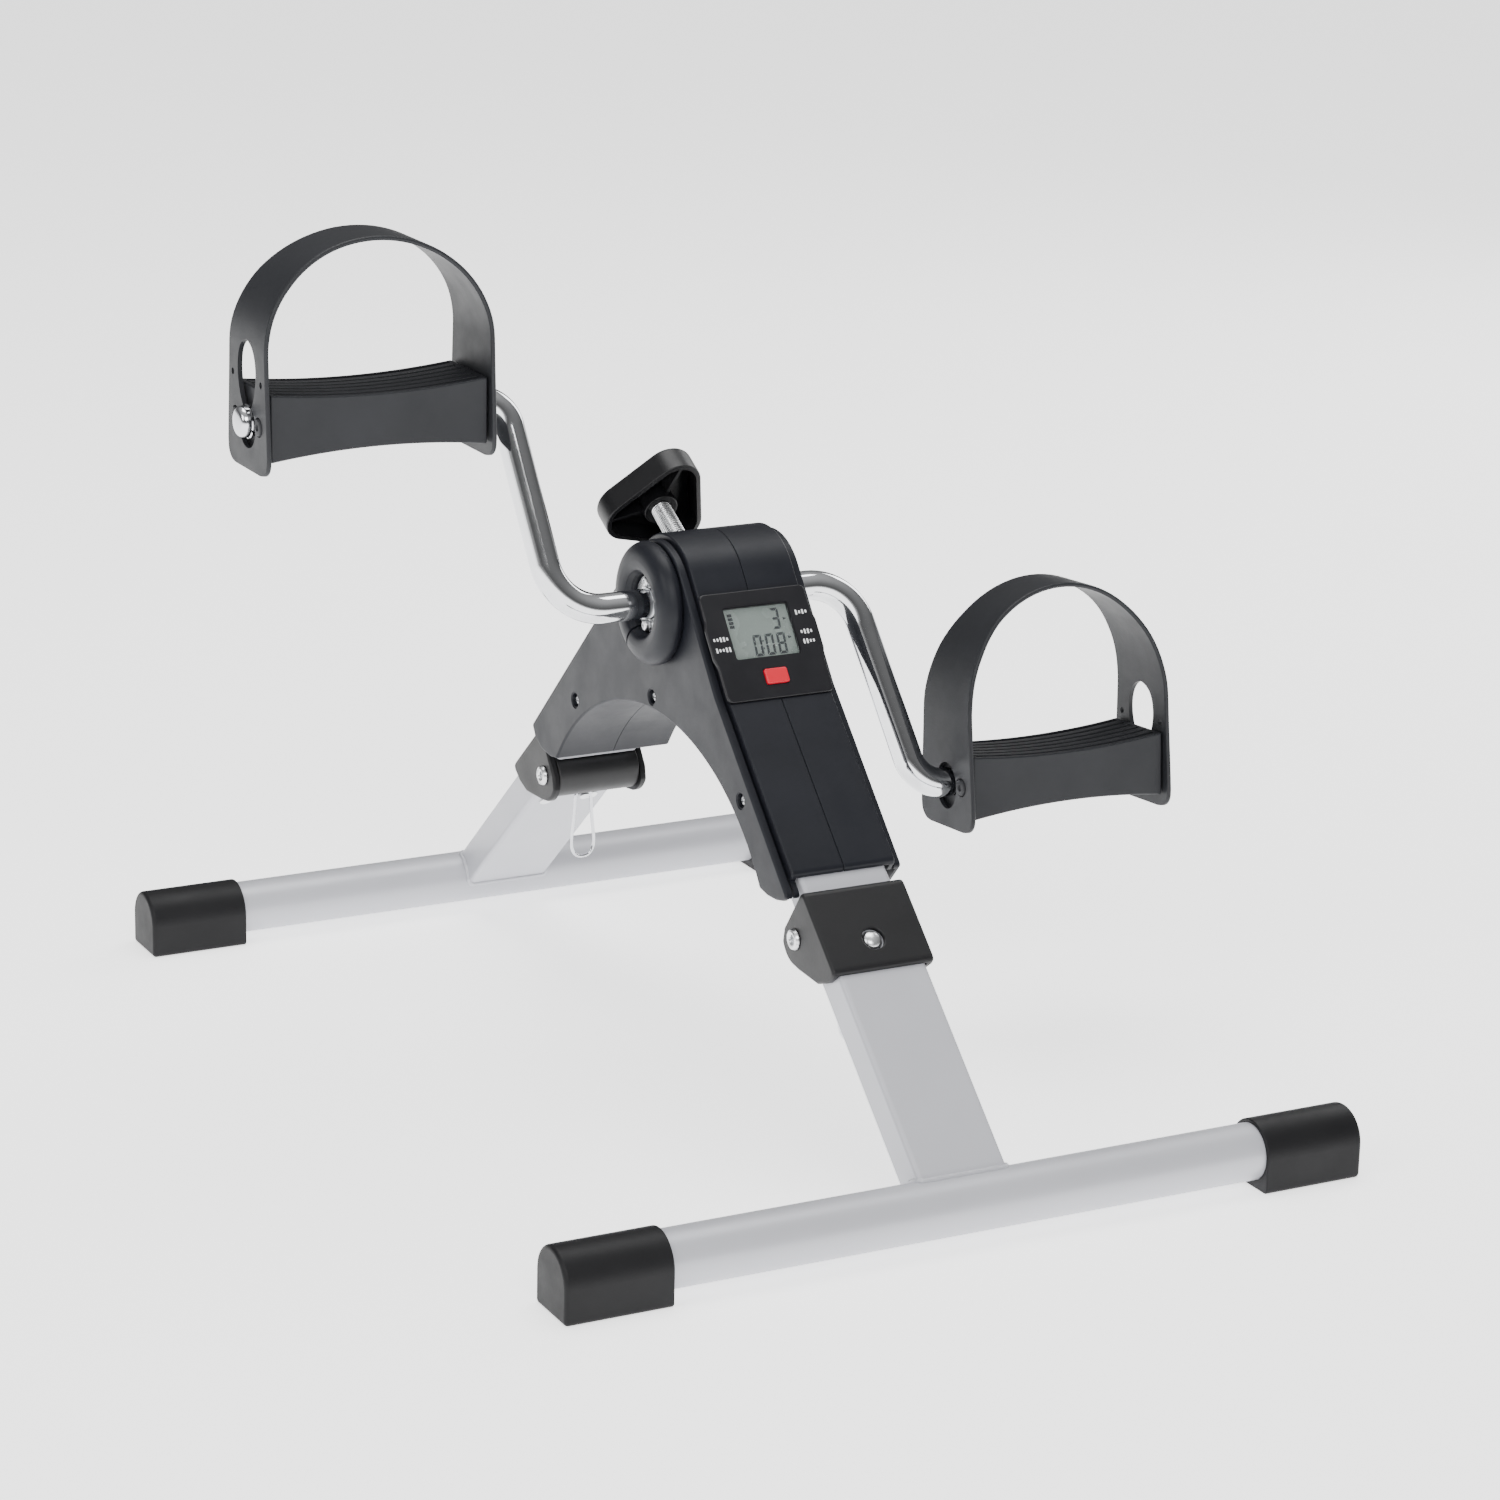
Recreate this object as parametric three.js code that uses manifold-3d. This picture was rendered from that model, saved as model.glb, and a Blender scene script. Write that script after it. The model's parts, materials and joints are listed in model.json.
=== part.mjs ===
// Folding pedal exerciser: a housing on two folding legs, a one-piece crank with two strapped
// pedals, a tension knob and a small battery display.
// Millimetres, +Z up. X runs along the crank, -Y is the front (the display side), and the origin
// is on the floor under the middle of the housing.
import * as THREE from 'three';
import { mergeVertices } from 'three/addons/utils/BufferGeometryUtils.js';
import Module from 'manifold-3d';

const wasm = await Module();
wasm.setup();
const rad = THREE.MathUtils.degToRad;

// ---------------------------------------------------------------- driving dimensions
const GAP = 0.3;                  // between pieces that touch

const BASE_HALF_WIDTH = 192;      // to the outside of the foot caps
const BASE_TUBE_Y = 238.8;        // distance of each base tube from the middle
const BASE_TUBE_Z = 15.4;
const BASE_TUBE_R = 12.7;
const CAP_LENGTH = 49;
const CAP_HALF_DEPTH = 14.45;

const LEG_SLOPE = 42;             // degrees above the floor
const PIVOT_Y = 129.6;
const PIVOT_Z = 101.4;
const LEG_HALF_WIDTH = 21.5;
const LEG_THICKNESS = 18;
const LEG_WALL = 1.9;
const STUB_OUT = 16.7;             // outer and inner faces of the upper tubes
const STUB_IN = 1.9;
const KNUCKLE_R = 11;
const RIVET_R = 3;
const PIN_UP_LEG = -15;           // lock pin, measured along the leg from the pivot
const PIN_R = 4.5;
const EYE_DEPTH = 5;              // eye of the lock pin, inside the leg's inner face
const PLUG_RIVET_X = 12.5;        // rivets that hold the knuckle's tongue in the leg
const PLUG_RIVET_UP = -32.6;
const BRACKET_WALL_IN = 18.3;
const BRACKET_WALL_OUT = 20.5;
const BRACKET_HALF_WIDTH = 25;

const CRANK_Z = 221;
const CRANK_THROW = 98;
const CRANK_ANGLE = 70.7;         // left arm, from +Y towards +Z
const CRANK_BAR_R = 6.9;
const SPINDLE_R = 6;
const ARM_ROOT_X = { left: 79.5, right: 67 };
const ARM_END_X = { left: 92.4, right: 90 };
const ROOT_BEND_R = 26;           // middle of the bar, where an arm leaves the axle
const END_BEND_R = { left: 15, right: 18 };
const HUB_R = 12;
const SHELL_R = 18;
const SHELL_BORE_R = 14.2;
const SHELL_HALF = 24;

const CROWN_R = 31;               // top of the housing, about the crank
const SIDE_CROWN_R = 28.6;        // the same on the side walls
const COVER_HALF_WIDTH = 30;
const COVER_WALL = 2.4;
const BAND_HALF_WIDTH = 25.5;     // raised band down the middle of the housing
const BOSS = {                    // the left boss stands out, and the right one is nearly flush
  left: { radius: 28.3, face: 40, bearingFace: 34 },
  right: { radius: 25.6, face: 31.6, bearingFace: 27.8 },
};
const BOSS_HOLE_R = 13.6;
const BOSS_SPIGOT_R = 20;
const BEARING_BOLT_R = 10.2;      // circle of each bearing's two bolts

const MODULE_SLOPE = 52;
const MODULE_WIDTH = 53;
const MODULE_HEIGHT = 52.4;
const MODULE_CENTRE = new THREE.Vector3(0, -49.67, 211.55);

const PEDAL_CENTRE_X = 159.5;
const PEDAL_HALF_LENGTH = 51;
const PEDAL_HALF_DEPTH = 20;
const RIGHT_PEDAL_TILT = -5;
const STRAP_ARCH_Z = 32;          // centre of the strap's arch above the spindle
const STRAP_OUT_R = 54.2;
const STRAP_IN_R = 52;
const STRAP_RISE = { left: 48, right: 58.5 };   // outer height of the arch above its centre
const STRAP_BOTTOM = -21.2;

const KNOB_ANGLE = 28.9;          // tension screw above the horizontal, towards the rear
const KNOB_X = -2.7;
const KNOB_BASE = 58.4;           // knob's rim, from the crank's axis
const KNOB_THICKNESS = 14;

// ---------------------------------------------------------------- solids and booleans
function asSolid(geometry) {
  const bare = geometry.clone();
  bare.deleteAttribute('normal');
  bare.deleteAttribute('uv');
  const merged = mergeVertices(bare, 1e-4);
  const make = (triVerts) => new wasm.Manifold(new wasm.Mesh({
    numProp: 3,
    vertProperties: new Float32Array(merged.attributes.position.array),
    triVerts,
  }));
  const triVerts = new Uint32Array(merged.index.array);
  const solid = make(triVerts);
  return solid.volume() > 0 ? solid : make(triVerts.reverse());
}

function asGeometry(solid) {
  const { vertProperties, triVerts } = solid.getMesh();
  const geometry = new THREE.BufferGeometry();
  geometry.setAttribute('position', new THREE.BufferAttribute(vertProperties, 3));
  geometry.setIndex(new THREE.BufferAttribute(triVerts, 1));
  return geometry;
}

function join(...geometries) {
  return asGeometry(geometries.map(asSolid).reduce((all, next) => all.add(next)));
}

function cut(geometry, ...tools) {
  return asGeometry(tools.map(asSolid).reduce((left, tool) => left.subtract(tool), asSolid(geometry)));
}

function common(a, b) {
  return asGeometry(asSolid(a).intersect(asSolid(b)));
}

// ---------------------------------------------------------------- shape makers
// Takes a drawing in (y, z) and its depth along x.
const DRAWN_IN_YZ = new THREE.Matrix4().set(0, 0, 1, 0, 1, 0, 0, 0, 0, 1, 0, 0, 0, 0, 0, 1);
// Takes a turned piece from the Y axis to the X axis.
const TURNED_ABOUT_X = new THREE.Matrix4().set(0, 1, 0, 0, 0, 0, 1, 0, 1, 0, 0, 0, 0, 0, 0, 1);

function extruded(shape, depth, curveSegments = 8) {
  return new THREE.ExtrudeGeometry(shape, { depth, bevelEnabled: false, curveSegments });
}

function platedX(shape, x0, x1, curveSegments = 8) {
  return extruded(shape, x1 - x0, curveSegments).translate(0, 0, x0).applyMatrix4(DRAWN_IN_YZ);
}

function block(x0, x1, y0, y1, z0, z1) {
  return new THREE.BoxGeometry(x1 - x0, y1 - y0, z1 - z0)
    .translate((x0 + x1) / 2, (y0 + y1) / 2, (z0 + z1) / 2);
}

// profile: [distance along x, radius] pairs
function turnedX(profile, sides = 16) {
  const points = profile.map(([x, r]) => new THREE.Vector2(r, x));
  return new THREE.LatheGeometry(points, sides).applyMatrix4(TURNED_ABOUT_X);
}

function rodX(r, x0, x1, sides = 16) {
  return turnedX([[x0, 0], [x0, r], [x1, r], [x1, 0]], sides);
}

function tubeX(r, bore, x0, x1, sides = 16) {
  return turnedX([[x0, bore], [x0, r], [x1, r], [x1, bore], [x0, bore]], sides);
}

function rodZ(r, z0, z1, sides = 16) {
  return new THREE.CylinderGeometry(r, r, z1 - z0, sides)
    .rotateX(Math.PI / 2).translate(0, 0, (z0 + z1) / 2);
}

function rodY(r, y0, y1, sides = 16) {
  return new THREE.CylinderGeometry(r, r, y1 - y0, sides).translate(0, (y0 + y1) / 2, 0);
}

function roundedRect(x0, x1, y0, y1, r) {
  const shape = new THREE.Shape();
  shape.absarc(x1 - r, y0 + r, r, -Math.PI / 2, 0);
  shape.absarc(x1 - r, y1 - r, r, 0, Math.PI / 2);
  shape.absarc(x0 + r, y1 - r, r, Math.PI / 2, Math.PI);
  shape.absarc(x0 + r, y0 + r, r, Math.PI, 1.5 * Math.PI);
  return shape;
}

function polygon(points) {
  return new THREE.Shape(points.map(([a, b]) => new THREE.Vector2(a, b)));
}

// ---------------------------------------------------------------- scene graph
const exerciser = new THREE.Group();

function addTo(parent, name, geometry, color, roughness, metalness = 0) {
  const mesh = new THREE.Mesh(geometry, new THREE.MeshStandardMaterial({ color, roughness, metalness }));
  mesh.name = name;
  parent.add(mesh);
  return mesh;
}

function groupIn(parent, x, y, z) {
  const group = new THREE.Group();
  group.position.set(x, y, z);
  parent.add(group);
  return group;
}

const BLACK_PLASTIC = 0x2e3034;
const SILVER_PAINT = 0xc9ccd4;
const CHROME = 0xdfe2e6;
const ZINC = 0xc6c9cc;

// ---------------------------------------------------------------- hinge frame of a leg
// In a hinge frame the origin is the pivot, +X runs along it, -Y points out of the leg's outer
// face and +Z runs up the leg towards the housing. The rear one is the front one turned half round.
function hingeMatrix(end) {
  const slope = new THREE.Matrix4().makeRotationX(rad(LEG_SLOPE - 90));
  const place = new THREE.Matrix4().makeTranslation(0, -PIVOT_Y, PIVOT_Z);
  const turn = new THREE.Matrix4().makeRotationZ(end === 'rear' ? Math.PI : 0);
  return turn.multiply(place).multiply(slope);
}

function hingeGroup(end) {
  const group = new THREE.Group();
  group.applyMatrix4(hingeMatrix(end));
  exerciser.add(group);
  return group;
}

// ---------------------------------------------------------------- upper frame
function stub(end) {
  const top = 168;
  const innerTop = 150;
  const tube = cut(
    block(-LEG_HALF_WIDTH, LEG_HALF_WIDTH, -STUB_OUT, -STUB_IN, 0, top),
    rodX(KNUCKLE_R + 1.3, -30, 30, 20),
  );
  const hollow = block(
    -LEG_HALF_WIDTH + LEG_WALL, LEG_HALF_WIDTH - LEG_WALL,
    -STUB_OUT + LEG_WALL, -STUB_IN - LEG_WALL, -5, innerTop,
  );
  return cut(tube, hollow).applyMatrix4(hingeMatrix(end));
}

const SCREW_Y = 85;
const SCREW_Z = 152;
const MIDDLE_SCREW = [4, 175.5];

function aboutCrank(angle) {
  return (geometry) => geometry.rotateX(rad(angle)).translate(0, 0, CRANK_Z);
}

function makeUpperFrame() {
  const shell = rodX(SHELL_R, -SHELL_HALF, SHELL_HALF, 24).translate(0, 0, CRANK_Z);
  const bore = rodX(SHELL_BORE_R, -30, 30, 24).translate(0, 0, CRANK_Z);
  const screwWay = aboutCrank(KNOB_ANGLE)(rodY(5.4, 8, 24, 12).translate(KNOB_X, 0, 0));
  const sensorWay = aboutCrank(100)(rodY(2.4, 8, 24, 8).translate(12, 0, 0));
  const coverScrewWays = [-SCREW_Y, SCREW_Y].map((y) => rodX(2.3, -30, 30, 8).translate(0, y, SCREW_Z));
  return cut(join(stub('front'), stub('rear'), shell), bore, screwWay, sensorWay, ...coverScrewWays);
}
addTo(exerciser, 'upper_frame', makeUpperFrame(), SILVER_PAINT, 0.45, 0.3);

// ---------------------------------------------------------------- covers
// A straight edge of the housing is a line at a distance from the crank's axis, whose normal
// points at an angle measured from +Y towards +Z.
function corner(angleA, distanceA, angleB, distanceB) {
  const [a, b] = [rad(angleA), rad(angleB)];
  const det = Math.sin(b - a);
  const y = (distanceA * Math.sin(b) - distanceB * Math.sin(a)) / det;
  const z = (distanceB * Math.cos(a) - distanceA * Math.cos(b)) / det;
  return [y, CRANK_Z + z];
}

const DISPLAY_EDGE = 90 + MODULE_SLOPE;
const REAR_EDGE = 45;
const ARCH_CENTRE_Z = 70;
const ARCH_HALF_WIDTH = 118.9;
const ARCH_HEIGHT = 100;
const ARCH_ENDS = [28.4, 151.6];

function coverShape({ front, frontEdge, crown, rear, archGrowth, frontFoot, rearFoot }) {
  const archHalf = ARCH_HALF_WIDTH + archGrowth;
  const archRise = ARCH_HEIGHT + archGrowth;
  const shape = new THREE.Shape();
  shape.moveTo(...frontFoot[frontFoot.length - 1]);
  [...frontFoot].reverse().slice(1).forEach((point) => shape.lineTo(...point));
  shape.lineTo(...corner(frontEdge, front, DISPLAY_EDGE, crown));
  shape.absarc(0, CRANK_Z, crown, rad(DISPLAY_EDGE), rad(REAR_EDGE) - Math.acos(rear / crown), true);
  rearFoot.forEach((point) => shape.lineTo(...point));
  shape.absellipse(0, ARCH_CENTRE_Z, archHalf, archRise, ...ARCH_ENDS.map(rad), false);
  return shape;
}

const BAND = {
  front: 23.2, frontEdge: 134.2, crown: CROWN_R, rear: 30.6, archGrowth: 0,
  frontFoot: [[-127.4, 129.5], [-115.1, 115.8]],
  rearFoot: [[130.6, 133.7], [115.1, 115.8]],
};
const SIDE_WALL = {
  front: 21.2, frontEdge: 135, crown: SIDE_CROWN_R, rear: 28.4, archGrowth: 0,
  frontFoot: [[-130, 121], [-126, 118.3], [-120, 116.8], [-112, 116.4]],
  rearFoot: [[133, 127], [129.5, 121.5], [122, 117.6], [112, 116.4]],
};
const RIGHT_FRONT_FOOT = [[-124.6, 126.4], [-115.1, 115.8]];   // ends level with the band
const THIN_HOLLOW = {
  front: 21, frontEdge: 134.2, crown: CROWN_R - COVER_WALL, rear: 28.2, archGrowth: COVER_WALL,
  frontFoot: [[-143, 111.3], [-125, 95], [-110, 112]],
  rearFoot: [[150, 110.9], [125, 95], [110, 112]],
};
const NARROW_HOLLOW = {
  front: 18.8, frontEdge: 135, crown: SIDE_CROWN_R - COVER_WALL, rear: 26, archGrowth: COVER_WALL,
  frontFoot: [[-143, 104.6], [-125, 95], [-110, 112]],
  rearFoot: [[150, 106.6], [125, 95], [110, 112]],
};

function displayMatrix() {
  return new THREE.Matrix4().makeRotationX(rad(MODULE_SLOPE)).setPosition(MODULE_CENTRE);
}

function coverHalf(side) {
  const span = (inner, outer) => (side < 0 ? [-outer, -inner] : [inner, outer]);
  const seam = GAP / 2;
  const inside = COVER_HALF_WIDTH - COVER_WALL;
  const band = platedX(coverShape(BAND), ...span(seam, BAND_HALF_WIDTH), 7);
  const wallShape = side < 0 ? SIDE_WALL : { ...SIDE_WALL, frontFoot: RIGHT_FRONT_FOOT };
  const wall = platedX(coverShape(wallShape), ...span(seam, COVER_HALF_WIDTH), 7);
  const wide = platedX(coverShape(THIN_HOLLOW), ...span(-1, 24), 7);
  const narrow = platedX(coverShape(NARROW_HOLLOW), ...span(-1, inside), 7);
  const displayWay = block(-23, 23, -22.5, 21.5, -9, 3).applyMatrix4(displayMatrix());
  const displaySeat = block(-28.3, 28.3, -26.6, 26.6, -1.8, 9).applyMatrix4(displayMatrix());
  const crankWay = rodX(BOSS_SPIGOT_R + GAP, ...span(25, 35), 20).translate(0, 0, CRANK_Z);
  const knobWay = aboutCrank(KNOB_ANGLE)(rodY(6, 20, 40, 12).translate(KNOB_X, 0, 0));
  const shell = cut(join(band, wall), wide, narrow, displayWay, displaySeat, crankWay, knobWay);

  const posts = [[-SCREW_Y, SCREW_Z, LEG_HALF_WIDTH + GAP], [SCREW_Y, SCREW_Z, LEG_HALF_WIDTH + GAP],
    [...MIDDLE_SCREW, seam]];
  const solidPosts = posts.map(([y, z, from]) => rodX(4.8, ...span(from, inside + 1), 10).translate(0, y, z));
  const screwWays = posts.map(([y, z]) => rodX(1.9, ...span(-1, side < 0 ? 35 : 25.5), 8).translate(0, y, z));
  const headWays = posts.map(([y, z]) => rodX(3.4, ...span(26, 35), 10).translate(0, y, z));
  return cut(join(shell, ...solidPosts), ...screwWays, ...(side < 0 ? headWays : []));
}
addTo(exerciser, 'left_cover', coverHalf(-1), BLACK_PLASTIC, 0.45);
addTo(exerciser, 'right_cover', coverHalf(1), BLACK_PLASTIC, 0.45);

function coverScrew(y, z) {
  const profile = [[-28.9, 0], [-28.6, 2], [-27.8, 2.8], [-26.3, 2.8], [-26.3, 1.6], [25.2, 1.6], [25.2, 0]];
  return turnedX(profile, 8).translate(0, y, z);
}
addTo(exerciser, 'cover_screw_front', coverScrew(-SCREW_Y, SCREW_Z), ZINC, 0.3, 0.9);
addTo(exerciser, 'cover_screw_rear', coverScrew(SCREW_Y, SCREW_Z), ZINC, 0.3, 0.9);
addTo(exerciser, 'cover_screw_middle', coverScrew(...MIDDLE_SCREW), ZINC, 0.3, 0.9);

// ---------------------------------------------------------------- boss rings and bearings
function bossRing({ radius, face }) {
  const start = COVER_HALF_WIDTH + GAP;
  const depth = face - start;
  const bulge = new THREE.Path();
  bulge.moveTo(start, radius - 1.5);
  bulge.quadraticCurveTo(start + 0.1 * depth, radius, start + 0.36 * depth, radius);
  bulge.quadraticCurveTo(face - 0.05 * depth, radius - 1, face, radius - 8);
  bulge.quadraticCurveTo(face, 15.5, face - 0.3 * depth, BOSS_HOLE_R);
  const outside = bulge.getPoints(3).map((p) => [p.x, p.y]);
  const profile = [[27, BOSS_HOLE_R], [27, BOSS_SPIGOT_R], [start, BOSS_SPIGOT_R], ...outside,
    [27, BOSS_HOLE_R]];
  return turnedX(profile, 20);
}

function bearing({ bearingFace }) {
  const profile = [
    [17, 7.3], [17, 13.8], [SHELL_HALF + GAP, 13.8], [SHELL_HALF + GAP, 17.5], [26.5, 17.5],
    [26.5, 13.1], [bearingFace, 13.1], [bearingFace, 7.3], [17, 7.3],
  ];
  const holes = [-1, 1].map((k) => rodX(1.7, 25.5, 40, 8).translate(0, 0, k * BEARING_BOLT_R));
  return cut(turnedX(profile), ...holes);
}

function bearingBolt({ bearingFace }) {
  const seat = bearingFace + GAP;
  const profile = [[26, 0], [26, 1.4], [seat, 1.4], [seat, 2.5], [seat + 1.7, 2.5],
    [seat + 2.5, 1.6], [seat + 2.5, 0]];
  return turnedX(profile, 8);
}

for (const [side, turn] of [['right', 0], ['left', Math.PI]]) {
  const group = groupIn(exerciser, 0, 0, CRANK_Z);
  group.rotation.z = turn;
  const boss = BOSS[side];
  const slit = block(boss.face - 6.5, boss.face + 2, -0.6, 0.6, -35, -12).rotateX(rad(-28));
  const ring = side === 'left' ? cut(bossRing(boss), slit) : bossRing(boss);
  addTo(group, `${side}_boss_ring`, ring, BLACK_PLASTIC, 0.5);
  addTo(group, `${side}_bearing`, bearing(boss), ZINC, 0.35, 0.9);
  const bolts = [['upper', BEARING_BOLT_R], ['lower', -BEARING_BOLT_R]];
  for (const [name, z] of bolts) {
    addTo(group, `${side}_bearing_bolt_${name}`, bearingBolt(boss), CHROME, 0.25, 1).position.z = z;
  }
}

// ---------------------------------------------------------------- display and reset button
const display = new THREE.Group();
display.applyMatrix4(displayMatrix());
exerciser.add(display);

const WINDOW = { x0: -16.4, x1: 15.4, y0: -6.3, y1: 18.3 };
const BUTTON = { x0: -5.8, x1: 6.1, y0: -19.9, y1: -12.1 };
const CASE_FACE_THICKNESS = 1.6;
const CASE_DEPTH = 6.6;
const FLANGE_THICKNESS = 1.5;

function inset(box, by) {
  return [box.x0 + by, box.x1 - by, box.y0 + by, box.y1 - by];
}

function displayCase() {
  const [w, h, bulge] = [MODULE_WIDTH / 2, MODULE_HEIGHT / 2, 1.2];
  const outline = new THREE.Shape();
  outline.moveTo(-w + 3, -h);
  outline.lineTo(w - 3, -h);
  outline.quadraticCurveTo(w, -h, w, -h + 3);
  outline.lineTo(w, -9);
  outline.lineTo(w + bulge, -5);
  outline.lineTo(w + bulge, 9);
  outline.lineTo(w, 13);
  outline.lineTo(w, h - 3);
  outline.quadraticCurveTo(w, h, w - 3, h);
  outline.lineTo(-w + 3, h);
  outline.quadraticCurveTo(-w, h, -w, h - 3);
  outline.lineTo(-w, 13);
  outline.lineTo(-w - bulge, 9);
  outline.lineTo(-w - bulge, -5);
  outline.lineTo(-w, -9);
  outline.lineTo(-w, -h + 3);
  outline.quadraticCurveTo(-w, -h, -w + 3, -h);
  const flange = extruded(outline, FLANGE_THICKNESS, 4).translate(0, 0, -FLANGE_THICKNESS);
  const body = block(-22.6, 22.6, -22.1, 21.1, -CASE_DEPTH, -1);
  const hollow = block(-21.1, 21.1, -20.9, 19.6, -10, -CASE_FACE_THICKNESS);
  const window = extruded(roundedRect(...inset(WINDOW, 0), 1), 10, 3).translate(0, 0, -5);
  const buttonWay = extruded(roundedRect(...inset(BUTTON, 0), 1.2), 10, 3).translate(0, 0, -5);
  return cut(join(flange, body), hollow, window, buttonWay);
}

function resetButton() {
  const cap = extruded(roundedRect(...inset(BUTTON, GAP), 1), 4.6, 3).translate(0, 0, -3.4);
  const foot = block(BUTTON.x0 - 1.2, BUTTON.x1 + 1.2, BUTTON.y0 - 0.7, BUTTON.y1 + 1.2, -3.4, -1.9);
  return join(cap, foot);
}
addTo(display, 'display_case', displayCase(), 0x1b1c1f, 0.35);
addTo(display, 'display_lens', block(...inset(WINDOW, GAP), -1.3, -0.4), 0xdfe6e6, 0.05);
addTo(display, 'lcd_panel', block(-17.5, 16.5, -8, 19.3, -3.4, -1.9), 0x8c9694, 0.5);
addTo(display, 'circuit_board', block(-20.8, 20.8, -20.5, 19.3, -6.2, -5), 0x2c5a3a, 0.6);
addTo(display, 'button_cell', rodZ(5.8, -9.6, -6.5).translate(8, 9, 0), ZINC, 0.3, 0.9);
addTo(display, 'reset_button', resetButton(), 0xe0323f, 0.4);

// ---------------------------------------------------------------- crank
// Drawn in the plane of the two arms: x along the axis, r towards the left pedal.
function filletedPath(corners, radii, steps) {
  const points = [corners[0]];
  for (let i = 1; i < corners.length - 1; i += 1) {
    const radius = radii[i - 1];
    const before = corners[i - 1].clone().sub(corners[i]).normalize();
    const after = corners[i + 1].clone().sub(corners[i]).normalize();
    const half = before.angleTo(after) / 2;
    const middle = before.clone().add(after).normalize();
    const centre = corners[i].clone().addScaledVector(middle, radius / Math.sin(half));
    const from = corners[i].clone().addScaledVector(before, radius / Math.tan(half)).sub(centre);
    const to = corners[i].clone().addScaledVector(after, radius / Math.tan(half)).sub(centre);
    const turn = Math.PI - 2 * half;
    for (let k = 0; k <= steps; k += 1) {
      const [a, b] = [Math.sin(turn * (1 - k / steps)), Math.sin(turn * k / steps)];
      points.push(centre.clone()
        .addScaledVector(from, a / Math.sin(turn)).addScaledVector(to, b / Math.sin(turn)));
    }
  }
  points.push(corners[corners.length - 1]);
  const path = new THREE.CurvePath();
  points.slice(1).forEach((point, i) => path.add(new THREE.LineCurve3(points[i], point)));
  return path;
}

function circle(r, sides) {
  return polygon(Array.from({ length: sides }, (_, i) => {
    const angle = (2 * Math.PI * i) / sides;
    return [r * Math.cos(angle), r * Math.sin(angle)];
  }));
}

function swept(path, r, sides, steps) {
  return new THREE.ExtrudeGeometry(circle(r, sides), { extrudePath: path, steps, bevelEnabled: false });
}

const SPINDLE_ROOT_X = 107.5;
const SPINDLE_END_X = 216.5;

function crankBar() {
  const at = (x, r) => new THREE.Vector3(x, 0, r);
  const path = filletedPath([
    at(-SPINDLE_ROOT_X, CRANK_THROW), at(-ARM_END_X.left, CRANK_THROW), at(-ARM_ROOT_X.left, 0),
    at(ARM_ROOT_X.right, 0), at(ARM_END_X.right, -CRANK_THROW), at(SPINDLE_ROOT_X, -CRANK_THROW),
  ], [END_BEND_R.left, ROOT_BEND_R, ROOT_BEND_R, END_BEND_R.right], 5);
  const rod = swept(path, CRANK_BAR_R, 10, 46);
  const spindle = (side) => rodX(SPINDLE_R, SPINDLE_ROOT_X - 2, SPINDLE_END_X)
    .rotateZ(side < 0 ? Math.PI : 0).translate(0, 0, -side * CRANK_THROW);
  return join(rod, spindle(-1), spindle(1));
}

const crank = groupIn(exerciser, 0, 0, CRANK_Z);
crank.rotation.x = rad(CRANK_ANGLE - 90);
addTo(crank, 'crank_bar', crankBar(), CHROME, 0.15, 1);

const HUB_HALF = 16;
const MAGNET_X = 12;

function crankHub() {
  const pocket = rodZ(1.8, HUB_R - 3, HUB_R + 2, 8).translate(MAGNET_X, 0, 0);
  return cut(tubeX(HUB_R, CRANK_BAR_R + GAP, -HUB_HALF, HUB_HALF), pocket);
}
addTo(crank, 'crank_hub', crankHub(), ZINC, 0.4, 0.9);
addTo(crank, 'hub_magnet', rodZ(1.5, HUB_R - 2.7, HUB_R - 0.3, 8).translate(MAGNET_X, 0, 0), 0x55585c, 0.4, 0.8);

function spindleNut() {
  const start = SPINDLE_END_X - 4;
  const end = SPINDLE_END_X + 2.6;
  const profile = [[start, SPINDLE_R + GAP], [start, 7.6], [start + 3, 7.6], [end - 0.6, 6.6],
    [end, 4.5], [end, 0], [SPINDLE_END_X + GAP, 0], [SPINDLE_END_X + GAP, SPINDLE_R + GAP],
    [start, SPINDLE_R + GAP]];
  return turnedX(profile, 12);
}
for (const [side, sign] of [['left', -1], ['right', 1]]) {
  const nut = addTo(crank, `${side}_spindle_nut`, spindleNut(), CHROME, 0.25, 1);
  nut.rotation.z = sign < 0 ? Math.PI : 0;
  nut.position.z = -sign * CRANK_THROW;
}

// ---------------------------------------------------------------- pedals
const STUD_Y = 13.5;
const TREAD_GROOVES = [-12, -6, 0, 6, 12];

// Drawn in (x, z): the tread dips in the middle and the underside arches up.
function pedalSide(topDip, topZ, bottomZ, bottomRise) {
  const half = PEDAL_HALF_LENGTH;
  const shape = new THREE.Shape();
  shape.moveTo(-half, bottomZ);
  shape.lineTo(-half + 3, bottomZ);
  shape.quadraticCurveTo(0, bottomZ + 2 * bottomRise, half - 3, bottomZ);
  shape.lineTo(half, bottomZ);
  shape.lineTo(half, topZ);
  shape.quadraticCurveTo(0, topZ - 2 * topDip, -half, topZ);
  return shape;
}

function alongY(shape, y0, y1, curveSegments) {
  return extruded(shape, y1 - y0, curveSegments).rotateX(Math.PI / 2).translate(0, y1, 0);
}

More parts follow.
